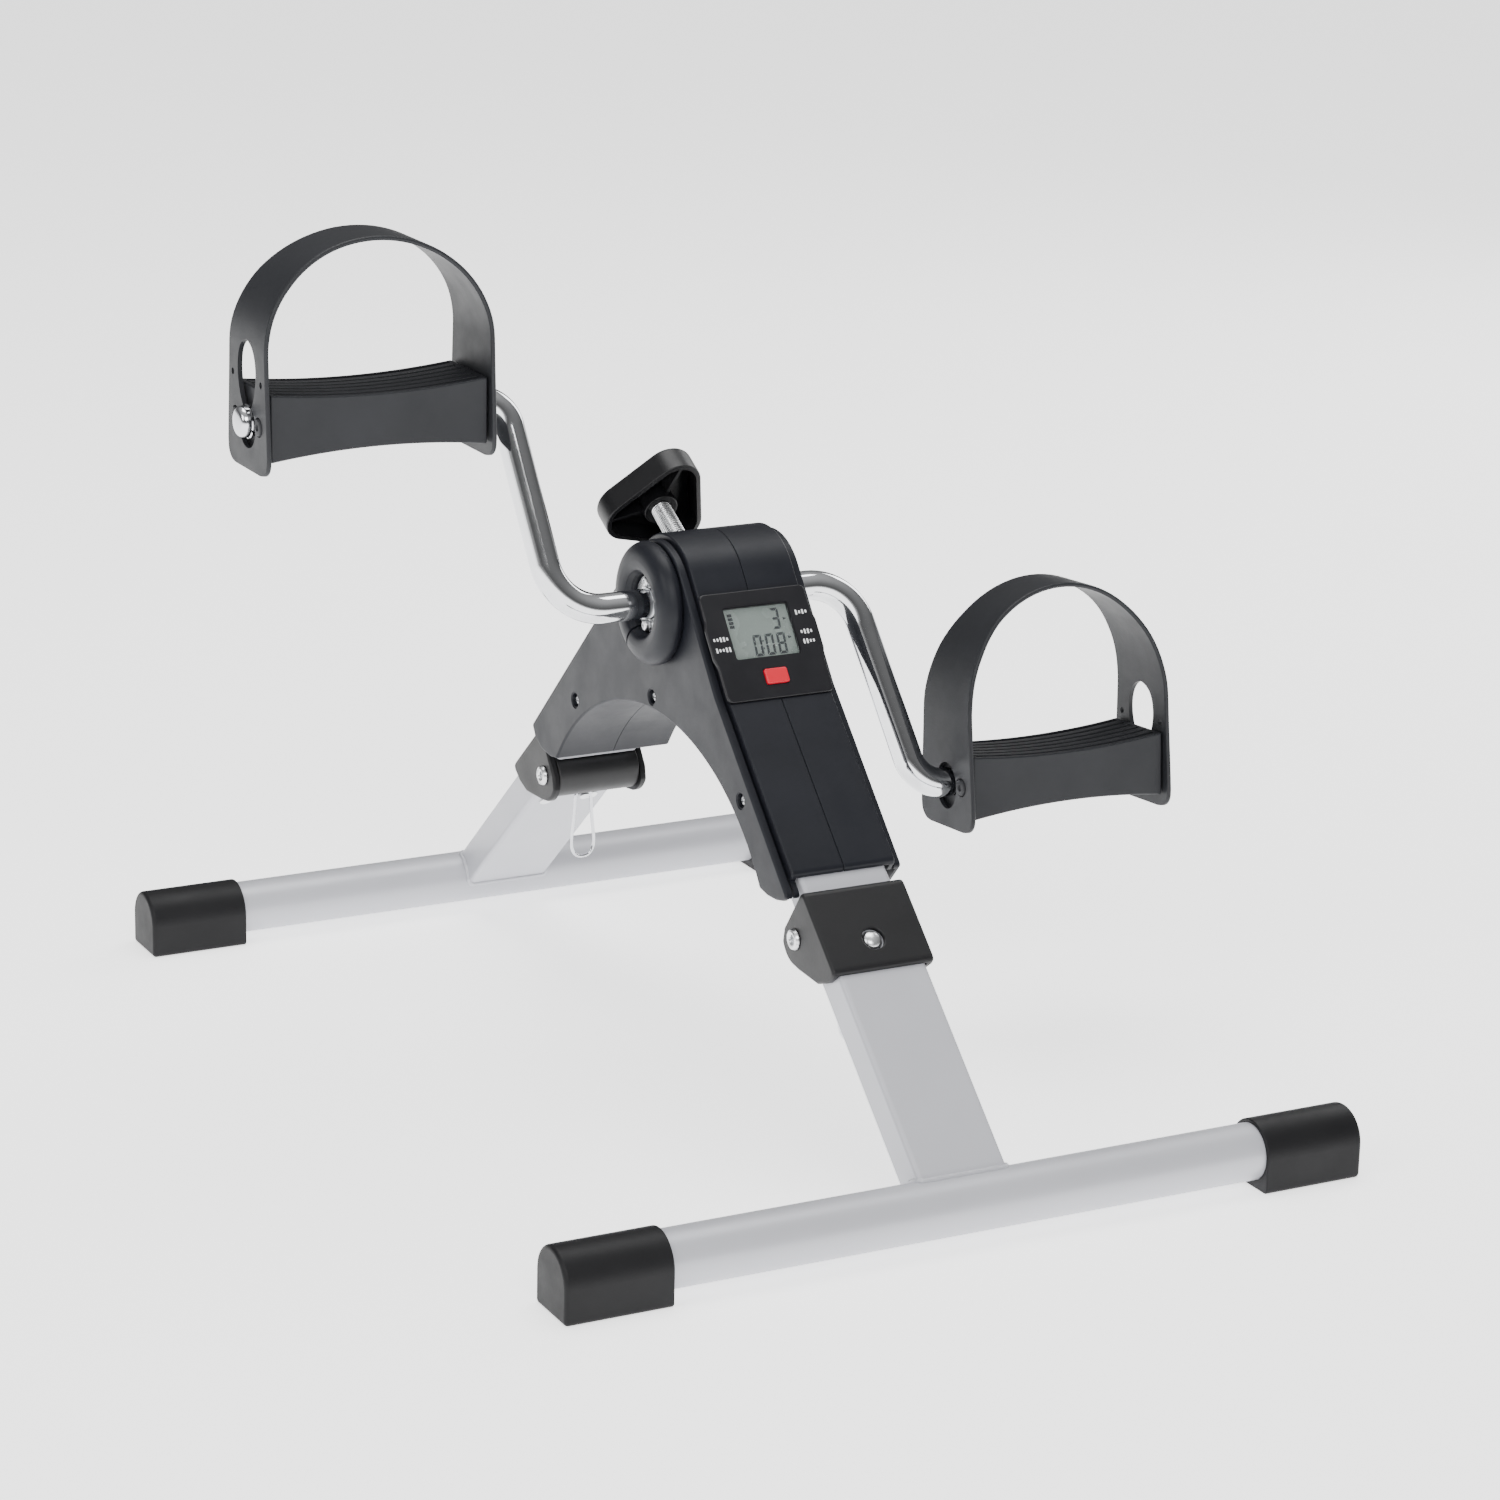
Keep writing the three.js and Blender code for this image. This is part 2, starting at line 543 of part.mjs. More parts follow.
function pedalBody() {
  const blank = alongY(pedalSide(3, 15, -15, 3.4), -PEDAL_HALF_DEPTH, PEDAL_HALF_DEPTH, 6);
  const above = new THREE.Shape();
  above.moveTo(-PEDAL_HALF_LENGTH + 3, 30);
  above.lineTo(-PEDAL_HALF_LENGTH + 3, 13.4);
  above.quadraticCurveTo(0, 8.4, PEDAL_HALF_LENGTH - 3, 13.4);
  above.lineTo(PEDAL_HALF_LENGTH - 3, 30);
  const grooves = TREAD_GROOVES.map((y) => alongY(above, y - 1, y + 1, 4));
  const pockets = [-1, 1].map((k) => block(-46, 46, 9.5, 17, -25, 7.5).scale(1, k, 1));
  const bore = rodX(SPINDLE_R + 0.5, -60, 60);
  const studs = [-1, 1].flatMap((k) => [-1, 1].map((m) => rodX(4, 50, 55, 10)
    .scale(k, 1, 1).translate(0, m * STUD_Y, 0)));
  return cut(join(cut(blank, ...grooves, ...pockets.map(outward)), ...studs.map(outward)), bore);
}

// A mirrored solid has its faces turned in, so their order is reversed.
function outward(geometry) {
  return asGeometry(asSolid(geometry));
}

// Drawn in (y, z): wide rounded ends that narrow into the band over the foot.
function strapOutline() {
  const shape = new THREE.Shape();
  shape.moveTo(-24, STRAP_BOTTOM + 7);
  shape.quadraticCurveTo(-23, STRAP_BOTTOM, -17, STRAP_BOTTOM);
  shape.lineTo(17, STRAP_BOTTOM);
  shape.quadraticCurveTo(23, STRAP_BOTTOM, 24, STRAP_BOTTOM + 7);
  shape.bezierCurveTo(23, 5, 22, 20, 21, 40);
  shape.bezierCurveTo(20, 62, 14, 74, 14, 100);
  shape.lineTo(-14, 100);
  shape.bezierCurveTo(-14, 74, -20, 62, -21, 40);
  shape.bezierCurveTo(-22, 20, -23, 5, -24, STRAP_BOTTOM + 7);
  return shape;
}

function strapBand(rise) {
  const thickness = STRAP_OUT_R - STRAP_IN_R;
  const shape = new THREE.Shape();
  shape.moveTo(-STRAP_OUT_R, -22);
  shape.lineTo(-STRAP_IN_R, -22);
  shape.lineTo(-STRAP_IN_R, STRAP_ARCH_Z);
  shape.absellipse(0, STRAP_ARCH_Z, STRAP_IN_R, rise - thickness, Math.PI, 0, true);
  shape.lineTo(STRAP_IN_R, -22);
  shape.lineTo(STRAP_OUT_R, -22);
  shape.lineTo(STRAP_OUT_R, STRAP_ARCH_Z);
  shape.absellipse(0, STRAP_ARCH_Z, STRAP_OUT_R, rise, 0, Math.PI, false);
  return shape;
}

function keyhole() {
  const shape = new THREE.Shape();
  shape.absarc(0, -2, 9.8, rad(120), rad(60), false);
  shape.bezierCurveTo(7, 12, 11, 16, 10.5, 24);
  shape.bezierCurveTo(9.5, 32, 5, 36, 0, 36);
  shape.bezierCurveTo(-5, 36, -9.5, 32, -10.5, 24);
  shape.bezierCurveTo(-11, 16, -7, 12, -4.9, 6.5);
  return shape;
}

// side is +1 where the outer end is at +X
function pedalStrap(side, rise) {
  const band = common(alongY(strapBand(rise), -26, 26, 10), platedX(strapOutline(), -60, 60, 4));
  const outerSpan = side > 0 ? [45, 60] : [-60, -45];
  const innerSpan = side > 0 ? [-60, -45] : [45, 60];
  const innerWay = rodX(10, ...innerSpan, 14).scale(1, 0.9, 1.1).translate(0, 0, -1.5);
  const studWays = [-1, 1].map((m) => rodX(4.4, -60, 60, 10).translate(0, m * STUD_Y, 0));
  const smallHoles = [-1, 1].map((m) => rodX(1.5, ...outerSpan, 6).translate(0, m * 16.5, 19));
  return cut(band, platedX(keyhole(), ...outerSpan, 4), innerWay, ...studWays, ...smallHoles);
}

for (const [side, sign] of [['left', -1], ['right', 1]]) {
  const arm = rad(CRANK_ANGLE);
  const group = groupIn(
    exerciser, sign * PEDAL_CENTRE_X,
    -sign * CRANK_THROW * Math.cos(arm), CRANK_Z - sign * CRANK_THROW * Math.sin(arm),
  );
  group.rotation.x = sign > 0 ? rad(RIGHT_PEDAL_TILT) : 0;
  addTo(group, `${side}_pedal_body`, pedalBody(), BLACK_PLASTIC, 0.5);
  addTo(group, `${side}_pedal_strap`, pedalStrap(sign, STRAP_RISE[side]), BLACK_PLASTIC, 0.55);
}

// ---------------------------------------------------------------- tension knob
// Turned group: +Z runs outwards along the tension screw from the crank's axis.
const tension = groupIn(exerciser, KNOB_X, 0, CRANK_Z);
tension.rotation.x = rad(KNOB_ANGLE - 90);

const KNOB_CORNERS = [44.3, 164.3, 284.3];
const KNOB_CORNER_OUT = 15;       // centre of each corner's arc, from the screw

function roundedTriangle(cornerR) {
  const shape = new THREE.Shape();
  for (const angle of KNOB_CORNERS) {
    const [x, y] = [KNOB_CORNER_OUT * Math.cos(rad(angle)), KNOB_CORNER_OUT * Math.sin(rad(angle))];
    shape.absarc(x, y, cornerR, rad(angle - 60), rad(angle + 60), false);
  }
  return shape;
}

function tensionKnob() {
  const top = KNOB_BASE + KNOB_THICKNESS;
  const outside = extruded(roundedTriangle(12.4), KNOB_THICKNESS, 7).translate(0, 0, KNOB_BASE);
  const pocket = extruded(roundedTriangle(9.8), KNOB_THICKNESS - 3, 5).translate(0, 0, KNOB_BASE - 0.5);
  const hub = rodZ(8.2, KNOB_BASE + 0.5, top - 2);
  const bore = rodZ(5.1, KNOB_BASE - 1, top - 4);
  return cut(join(cut(outside, pocket), hub), bore);
}

function tensionNut() {
  const hex = new THREE.CylinderGeometry(8.08, 8.08, 7.5, 6).rotateX(Math.PI / 2);
  return cut(hex.translate(0, 0, SHELL_R + GAP + 3.75), rodZ(5.2, 15, 30, 16));
}
addTo(tension, 'tension_knob', tensionKnob(), BLACK_PLASTIC, 0.45);
addTo(tension, 'tension_screw', rodZ(4.8, SHELL_BORE_R + GAP, KNOB_BASE + KNOB_THICKNESS - 4.3), CHROME, 0.3, 1);
addTo(tension, 'tension_nut', tensionNut(), ZINC, 0.4, 0.9);

function brakePad() {
  const sector = new THREE.Shape();
  const [from, to] = [rad(KNOB_ANGLE - 26), rad(KNOB_ANGLE + 26)];
  sector.absarc(0, 0, SHELL_BORE_R - GAP, from, to, false);
  sector.absarc(0, 0, HUB_R + GAP, to, from, true);
  return platedX(sector, -8, 8, 6);
}
addTo(exerciser, 'brake_pad', brakePad(), 0x3a3632, 0.8).position.z = CRANK_Z;
const reedSwitch = aboutCrank(100)(block(7, 17, SHELL_R + GAP, SHELL_R + 3.5, -2, 2));
addTo(exerciser, 'reed_switch', reedSwitch, 0x20262b, 0.5);

// ---------------------------------------------------------------- folding legs
const BASE_IN_HINGE = (() => {
  const [dy, dz] = [-BASE_TUBE_Y + PIVOT_Y, BASE_TUBE_Z - PIVOT_Z];
  const [c, s] = [Math.cos(rad(LEG_SLOPE)), Math.sin(rad(LEG_SLOPE))];
  return { up: dy * c + dz * s, out: -dy * s + dz * c };
})();

function bracket() {
  const side = new THREE.Shape();
  side.moveTo(-BRACKET_WALL_OUT, 12.5);
  side.lineTo(-BRACKET_WALL_OUT, -26.4);
  side.quadraticCurveTo(-BRACKET_WALL_OUT, -29.9, -17, -29.6);
  side.lineTo(-10.8, -28.6);
  side.lineTo(-3.2, -24.6);
  side.lineTo(8, -11);
  side.absarc(0, 0, 12.8, rad(-38), rad(28), false);
  side.lineTo(5.7, 9.4);
  const channel = block(-21.8, 21.8, -BRACKET_WALL_IN, 30, -40, 30);
  const rivetWay = rodX(RIVET_R + 0.2, -30, 30, 12);
  const pinWay = rodY(5.3, -25, -15).translate(0, 0, PIN_UP_LEG);
  return cut(platedX(side, -BRACKET_HALF_WIDTH, BRACKET_HALF_WIDTH, 6), channel, rivetWay, pinWay);
}

function hingeRivet() {
  const half = [[0, RIVET_R], [25.3, RIVET_R], [25.3, 4.8], [26.6, 4.2], [27.2, 0]];
  const mirrored = [...half].reverse().map(([x, r]) => [-x, r]);
  return turnedX([...mirrored, ...half.slice(1)]);
}

function legTube() {
  const outside = block(-LEG_HALF_WIDTH, LEG_HALF_WIDTH, -LEG_THICKNESS, -GAP, -140, -2);
  const inside = block(
    -LEG_HALF_WIDTH + LEG_WALL, LEG_HALF_WIDTH - LEG_WALL,
    -LEG_THICKNESS + LEG_WALL, -GAP - LEG_WALL, -150, 0,
  );
  const baseWay = rodX(BASE_TUBE_R + GAP, -30, 30, 20).translate(0, -BASE_IN_HINGE.out, BASE_IN_HINGE.up);
  const knuckleWay = rodX(KNUCKLE_R + 0.4, -30, 30, 20);
  const pinWay = rodY(PIN_R + GAP, -25, -10, 16).translate(0, 0, PIN_UP_LEG);
  const tailWay = rodY(2.9, -10, 5, 12).translate(0, 0, PIN_UP_LEG);
  const rivetWays = [-1, 1].map((k) => rodY(1.8, -8, 5, 8).translate(k * PLUG_RIVET_X, 0, PLUG_RIVET_UP));
  return cut(outside, inside, baseWay, knuckleWay, pinWay, tailWay, ...rivetWays);
}

function knuckle() {
  const barrel = rodX(KNUCKLE_R, -21.4, 21.4, 20);
  const tongue = block(-19.3, 19.3, -15.8, -2.5, -40, -4);
  const rivetWay = rodX(RIVET_R + 0.15, -30, 30);
  const pinWay = rodY(PIN_R + GAP, -25, 0, 16).translate(0, 0, PIN_UP_LEG);
  const rivetWays = [-1, 1].map((k) => rodY(1.8, -11, 5, 8).translate(k * PLUG_RIVET_X, 0, PLUG_RIVET_UP));
  return cut(join(barrel, tongue), rivetWay, pinWay, ...rivetWays);
}

function plugRivet() {
  const profile = [[-9, 0], [-9, 1.5], [0, 1.5], [0, 3.1], [1, 0]];
  return turnedX(profile, 8).rotateZ(Math.PI / 2);
}

function lockPin() {
  const [noseR, noseHeight, noseBase] = [4.6, 2.6, BRACKET_WALL_IN];
  const sphereR = (noseR ** 2 + noseHeight ** 2) / (2 * noseHeight);
  const nose = [0, 1, 2, 3, 4].map((k) => {
    const height = (noseHeight * k) / 4;
    const r = Math.sqrt(Math.max(0, sphereR ** 2 - (sphereR - noseHeight + height) ** 2));
    return [noseBase + height, r * (PIN_R / noseR)];
  });
  nose[4][1] = 0;
  const profile = [[-8, 0], [-8, 2.2], [-7.4, 2.6], [8, 2.6], [8, PIN_R], ...nose];
  return cut(turnedX(profile, 12).rotateZ(-Math.PI / 2), rodX(1.5, -5, 5, 8).translate(0, EYE_DEPTH, 0));
}

function pullLoop() {
  const [drop, halfWidth] = [33, 6];
  const points = [[0.2, 0], [3, -0.1], [4.1, -1.6], [4.6, -9], [halfWidth, -24], [4.4, 2.2 - drop],
    [0, -drop], [-4.4, 2.2 - drop], [-halfWidth, -24], [-4.6, -9], [-4.1, -1.6], [-3, -0.1], [-0.2, 0]];
  const path = new THREE.CatmullRomCurve3(points.map(([x, z]) => new THREE.Vector3(x, 0, z)), false);
  return swept(path, 0.8, 5, 30);
}

function footCap() {
  const outline = new THREE.Shape();
  const half = CAP_HALF_DEPTH;
  outline.moveTo(-half + 2, 0);
  outline.lineTo(half - 2, 0);
  outline.quadraticCurveTo(half, 0, half, 2);
  outline.lineTo(half, BASE_TUBE_Z);
  outline.absarc(0, BASE_TUBE_Z, half, 0, Math.PI, false);
  outline.lineTo(-half, 2);
  outline.quadraticCurveTo(-half, 0, -half + 2, 0);
  const start = BASE_HALF_WIDTH - CAP_LENGTH;
  const bore = rodX(BASE_TUBE_R + GAP, start - 1, BASE_HALF_WIDTH - 2.7, 20).translate(0, 0, BASE_TUBE_Z);
  return cut(platedX(outline, start, BASE_HALF_WIDTH, 7), bore);
}

for (const end of ['front', 'rear']) {
  const hinge = hingeGroup(end);
  addTo(hinge, `${end}_bracket`, bracket(), BLACK_PLASTIC, 0.5);
  addTo(hinge, `${end}_hinge_rivet`, hingeRivet(), ZINC, 0.3, 1);
  addTo(hinge, `${end}_leg_tube`, legTube(), SILVER_PAINT, 0.45, 0.3);
  addTo(hinge, `${end}_knuckle`, knuckle(), BLACK_PLASTIC, 0.5);
  for (const [k, name] of [[-1, 'a'], [1, 'b']]) {
    const rivet = addTo(hinge, `${end}_plug_rivet_${name}`, plugRivet(), ZINC, 0.35, 1);
    rivet.position.set(k * PLUG_RIVET_X, 0, PLUG_RIVET_UP);
  }
  addTo(hinge, `${end}_lock_pin`, lockPin(), ZINC, 0.25, 1).position.z = PIN_UP_LEG;
  const spring = addTo(hinge, `${end}_lock_spring`, tubeX(4.3, 3, 2.6, 7.6, 12), ZINC, 0.3, 1);
  spring.rotation.z = -Math.PI / 2;
  spring.position.z = PIN_UP_LEG;

  const turn = end === 'rear' ? Math.PI : 0;
  const eye = new THREE.Vector3(0, EYE_DEPTH, PIN_UP_LEG).applyMatrix4(hingeMatrix(end));
  addTo(exerciser, `${end}_pull_loop`, pullLoop(), CHROME, 0.2, 1).position.copy(eye);

  const foot = groupIn(exerciser, 0, 0, 0);
  foot.rotation.z = turn;
  const row = groupIn(foot, 0, -BASE_TUBE_Y, 0);
  const innerR = BASE_TUBE_R - 1.5;
  const tubeHalf = BASE_HALF_WIDTH - 3;
  const tube = tubeX(BASE_TUBE_R, innerR, -tubeHalf, tubeHalf, 20).translate(0, 0, BASE_TUBE_Z);
  addTo(row, `${end}_base_tube`, tube, SILVER_PAINT, 0.45, 0.3);
  const plusSide = end === 'rear' ? 'left' : 'right';
  const minusSide = end === 'rear' ? 'right' : 'left';
  addTo(row, `${end}_${plusSide}_foot_cap`, footCap(), BLACK_PLASTIC, 0.6);
  addTo(row, `${end}_${minusSide}_foot_cap`, footCap(), BLACK_PLASTIC, 0.6).rotation.z = Math.PI;
}

export default exerciser;
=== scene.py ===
# Looks of the folding pedal exerciser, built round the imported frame.
# Lengths in this file are in millimetres until a mesh is made, and the axes are the frame's own:
# X along the crank, -Y the front with the display, +Z up.
import json
import math

import bmesh
import bpy
import numpy as np
from mathutils import Matrix, Vector

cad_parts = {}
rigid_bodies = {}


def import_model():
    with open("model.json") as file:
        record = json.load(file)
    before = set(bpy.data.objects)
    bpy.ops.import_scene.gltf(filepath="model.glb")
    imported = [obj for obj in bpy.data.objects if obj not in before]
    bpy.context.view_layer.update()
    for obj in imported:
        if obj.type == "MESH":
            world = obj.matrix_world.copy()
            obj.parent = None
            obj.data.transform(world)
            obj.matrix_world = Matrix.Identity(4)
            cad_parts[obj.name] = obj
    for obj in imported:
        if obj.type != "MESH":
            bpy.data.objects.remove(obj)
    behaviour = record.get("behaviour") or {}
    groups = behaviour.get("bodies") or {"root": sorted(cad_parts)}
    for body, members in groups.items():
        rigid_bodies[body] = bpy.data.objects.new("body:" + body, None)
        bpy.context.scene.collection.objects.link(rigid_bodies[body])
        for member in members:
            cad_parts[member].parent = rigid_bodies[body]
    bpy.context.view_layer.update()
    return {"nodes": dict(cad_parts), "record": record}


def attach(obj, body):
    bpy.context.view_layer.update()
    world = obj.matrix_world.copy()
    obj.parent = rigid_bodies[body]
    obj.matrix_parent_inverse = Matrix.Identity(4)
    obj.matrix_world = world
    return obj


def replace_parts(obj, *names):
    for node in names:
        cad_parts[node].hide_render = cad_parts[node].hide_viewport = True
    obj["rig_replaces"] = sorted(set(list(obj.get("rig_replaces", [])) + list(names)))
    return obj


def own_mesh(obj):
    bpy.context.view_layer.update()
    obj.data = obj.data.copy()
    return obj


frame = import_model()

MM = 0.001
rad = math.radians

# ------------ dimensions
# The crank: its height, its throw, and its arm's tilt from the floor.
CRANK_Z = 221
CRANK_THROW = 98
CRANK_ANGLE = 70.7

# The tension knob's screw and the display's face.
KNOB_X = -2.7
KNOB_ANGLE = 28.9
DISPLAY_Y = -49.67
DISPLAY_Z = 211.55
DISPLAY_SLOPE = 52

# The front hinge; the rear one is the same, half a turn round Z.
PIVOT_Y = 129.6
PIVOT_Z = 101.4
LEG_SLOPE = 42

# Places on a leg, from its hinge: out from the leg's middle plane, and up its slope.
BASE_OUT = 9.15
BASE_UP = -138.7
PIN_UP_LEG = -15
PLUG_RIVET_X = 12.5
PLUG_RIVET_UP = -32.6

# The base tubes across the floor.
BASE_TUBE_Y = 238.8
BASE_TUBE_Z = 15.4
BASE_TUBE_R = 12.7
BASE_TUBE_HALF = 189

# The pedals.
PEDAL_CENTRE_X = 159.5
STUD_Y = 13.5


# ------------ outlines in a plane
def arc(cu, cv, ru, rv, start, end, steps):
    angles = [rad(start + (end - start) * k / steps) for k in range(steps + 1)]
    return [(cu + ru * math.cos(a), cv + rv * math.sin(a)) for a in angles]


def circle(r, sides, cu=0.0, cv=0.0):
    return arc(cu, cv, r, r, 0, 360 * (sides - 1) / sides, sides - 1)


def anticlockwise(points):
    area = sum(a[0] * b[1] - b[0] * a[1] for a, b in zip(points, points[1:] + points[:1]))
    return points if area > 0 else points[::-1]


def softened(points, radius, steps=4, least=20):
    """The outline with every corner that turns by least degrees or more rounded."""
    out = []
    count = len(points)
    for i, point in enumerate(points):
        p = Vector(point)
        before = Vector(points[i - 1]) - p
        after = Vector(points[(i + 1) % count]) - p
        turn = math.pi - before.angle(after)
        if turn < rad(least):
            out.append(tuple(p))
            continue
        longest = 0.45 * min(before.length, after.length)
        t = min(radius * math.tan(turn / 2), longest)
        a = p + before.normalized() * t
        b = p + after.normalized() * t
        for k in range(steps + 1):
            s = k / steps
            out.append(tuple(a * (1 - s) ** 2 + p * 2 * s * (1 - s) + b * s**2))
    return out


def grown(points, by):
    """An anticlockwise outline moved outwards by a distance, or inwards if it is negative."""
    out = []
    count = len(points)
    for i, point in enumerate(points):
        before = (Vector(point) - Vector(points[i - 1])).normalized()
        after = (Vector(points[(i + 1) % count]) - Vector(point)).normalized()
        na, nb = Vector((before.y, -before.x)), Vector((after.y, -after.x))
        miter = (na + nb) / max(1 + na.dot(nb), 0.4)
        out.append(tuple(Vector(point) + miter * by))
    return out


def rounded_rect(u0, u1, v0, v1, r, steps=6):
    return (
        arc(u1 - r, v0 + r, r, r, -90, 0, steps)
        + arc(u1 - r, v1 - r, r, r, 0, 90, steps)
        + arc(u0 + r, v1 - r, r, r, 90, 180, steps)
        + arc(u0 + r, v0 + r, r, r, 180, 270, steps)
    )


def curve_points(*beziers, steps=8):
    """Points along quadratic curves, each given as start, control and end."""
    out = []
    for a, b, c in beziers:
        a, b, c = Vector(a), Vector(b), Vector(c)
        for k in range(steps + 1):
            s = k / steps
            point = a * (1 - s) ** 2 + b * 2 * s * (1 - s) + c * s**2
            if not out or (Vector(out[-1]) - point).length > 1e-4:
                out.append(tuple(point))
    return out


# ------------ meshes
def solid(name, verts, faces, matrix=None):
    """A closed mesh object from millimetre points, faces turned outwards."""
    matrix = matrix or Matrix()
    mesh = bpy.data.meshes.new(name)
    mesh.from_pydata([matrix @ Vector(v) * MM for v in verts], [], faces)
    bm = bmesh.new()
    bm.from_mesh(mesh)
    bmesh.ops.remove_doubles(bm, verts=bm.verts, dist=1e-6)
    bmesh.ops.recalc_face_normals(bm, faces=bm.faces)
    bmesh.ops.triangulate(bm, faces=[f for f in bm.faces if len(f.verts) > 4])
    bm.to_mesh(mesh)
    bm.free()
    obj = bpy.data.objects.new(name, mesh)
    bpy.context.scene.collection.objects.link(obj)
    return obj


AXES = {
    "x": lambda u, v, w: (w, u, v),
    "y": lambda u, v, w: (u, w, v),
    "z": lambda u, v, w: (u, v, w),
}


def lofted(rings, close_ends=True, close_loop=False):
    """Vertices and faces of a skin over rings with the same number of points."""
    size = len(rings[0])
    verts = [p for ring in rings for p in ring]
    faces = []
    spans = len(rings) if close_loop else len(rings) - 1
    for k in range(spans):
        low, high = k * size, (k + 1) % len(rings) * size
        for i in range(size):
            j = (i + 1) % size
            faces.append((low + i, low + j, high + j, high + i))
    if close_ends and not close_loop:
        faces.append(tuple(range(size))[::-1])
        faces.append(tuple(range((len(rings) - 1) * size, len(rings) * size)))
    return verts, faces


def rounded_end(w, r, inward, steps):
    """Levels of a prism's end from its face inwards: where each is, and how far it is grown."""
    if not r:
        return [(w, 0)]
    angles = [math.pi / 2 * k / steps for k in range(steps + 1)]
    return [(w + inward * abs(r) * (1 - math.cos(a)), -r * (1 - math.sin(a))) for a in angles]


def prism(name, outline, w0, w1, axis="x", r0=0.0, r1=0.0, matrix=None, steps=4):
    """The outline carried along an axis from w0 to w1, with its end edges rounded to r0 and r1."""
    outline = anticlockwise(outline)
    low_end = rounded_end(w0, r0, 1, steps)
    high_end = rounded_end(w1, r1, -1, steps)[::-1]
    rings = [[AXES[axis](u, v, w) for u, v in grown(outline, by)] for w, by in low_end + high_end]
    return solid(name, *lofted(rings), matrix)


def full_turn(sides):
    return np.linspace(0, 2 * math.pi, sides + 1)[:-1]


def turned(name, profile, sides=64, matrix=None):
    """A piece turned about X from (x, radius) pairs, closed on itself or on the axis."""
    angles = full_turn(sides)
    rings = [[(x, r * math.cos(a), r * math.sin(a)) for a in angles] for x, r in profile]
    closed = profile[0] == profile[-1]
    return solid(name, *lofted(rings[:-1] if closed else rings, not closed, closed), matrix)


def swept(name, path, radius, sides=24, matrix=None, closed=False):
    """A round bar along a path of points; radius is one number or one for each point."""
    points = [Vector(p) for p in path]
    count = len(points)
    normal = None
    rings = []
    for i, p in enumerate(points):
        ahead = points[(i + 1) % count] if closed or i < count - 1 else p
        behind = points[i - 1] if closed or i > 0 else p
        along = (ahead - behind).normalized()
        if normal is None:
            normal = along.orthogonal().normalized()
        normal = (normal - along * normal.dot(along)).normalized()
        across = along.cross(normal)
        r = radius[i] if isinstance(radius, (list, tuple)) else radius
        rings.append([tuple(p + (normal * math.cos(a) + across * math.sin(a)) * r)
                      for a in full_turn(sides)])
    return solid(name, *lofted(rings, not closed, closed), matrix)


def spline(points, steps):
    """A smooth path through the points."""
    last = len(points) - 1

    def at(i):
        return Vector(points[min(max(i, 0), last)])

    path = []
    for i in range(last):
        a, b, c, d = at(i - 1), at(i), at(i + 1), at(i + 2)
        for k in range(steps):
            t = k / steps
            path.append(
                0.5 * (2 * b + (c - a) * t + (2 * a - 5 * b + 4 * c - d) * t**2
                       + (3 * b - a - 3 * c + d) * t**3)
            )
    path.append(at(last))
    return path


def hole(r, sides, w0, w1, axis, matrix=None, at=(0, 0)):
    """A round tool from w0 to w1 along an axis, for cutting a hole."""
    return prism("hole", circle(r, sides, *at), w0, w1, axis, matrix=matrix)


def box(name, x0, x1, y0, y1, z0, z1, matrix=None):
    return prism(name, [(x0, y0), (x1, y0), (x1, y1), (x0, y1)], z0, z1, "z", matrix=matrix)


def applied(obj):
    """Makes the object's modifiers part of its mesh."""
    bpy.context.view_layer.update()
    evaluated = obj.evaluated_get(bpy.context.evaluated_depsgraph_get())
    mesh = bpy.data.meshes.new_from_object(evaluated)
    old = obj.data
    obj.modifiers.clear()
    obj.data = mesh
    mesh.name = obj.name
    bpy.data.meshes.remove(old)
    return obj


def combined(obj, operation, tools):
    """The object after a boolean with each tool; the tools are used up."""
    for tool in tools:
        modifier = obj.modifiers.new(operation, "BOOLEAN")
        modifier.operation = operation
        modifier.solver = "MANIFOLD"
        modifier.object = tool
    applied(obj)
    for tool in tools:
        mesh = tool.data
        bpy.data.objects.remove(tool)
        bpy.data.meshes.remove(mesh)
    return obj


def cut(obj, *tools):
    return combined(obj, "DIFFERENCE", tools)


def join(obj, *tools):
    return combined(obj, "UNION", tools)


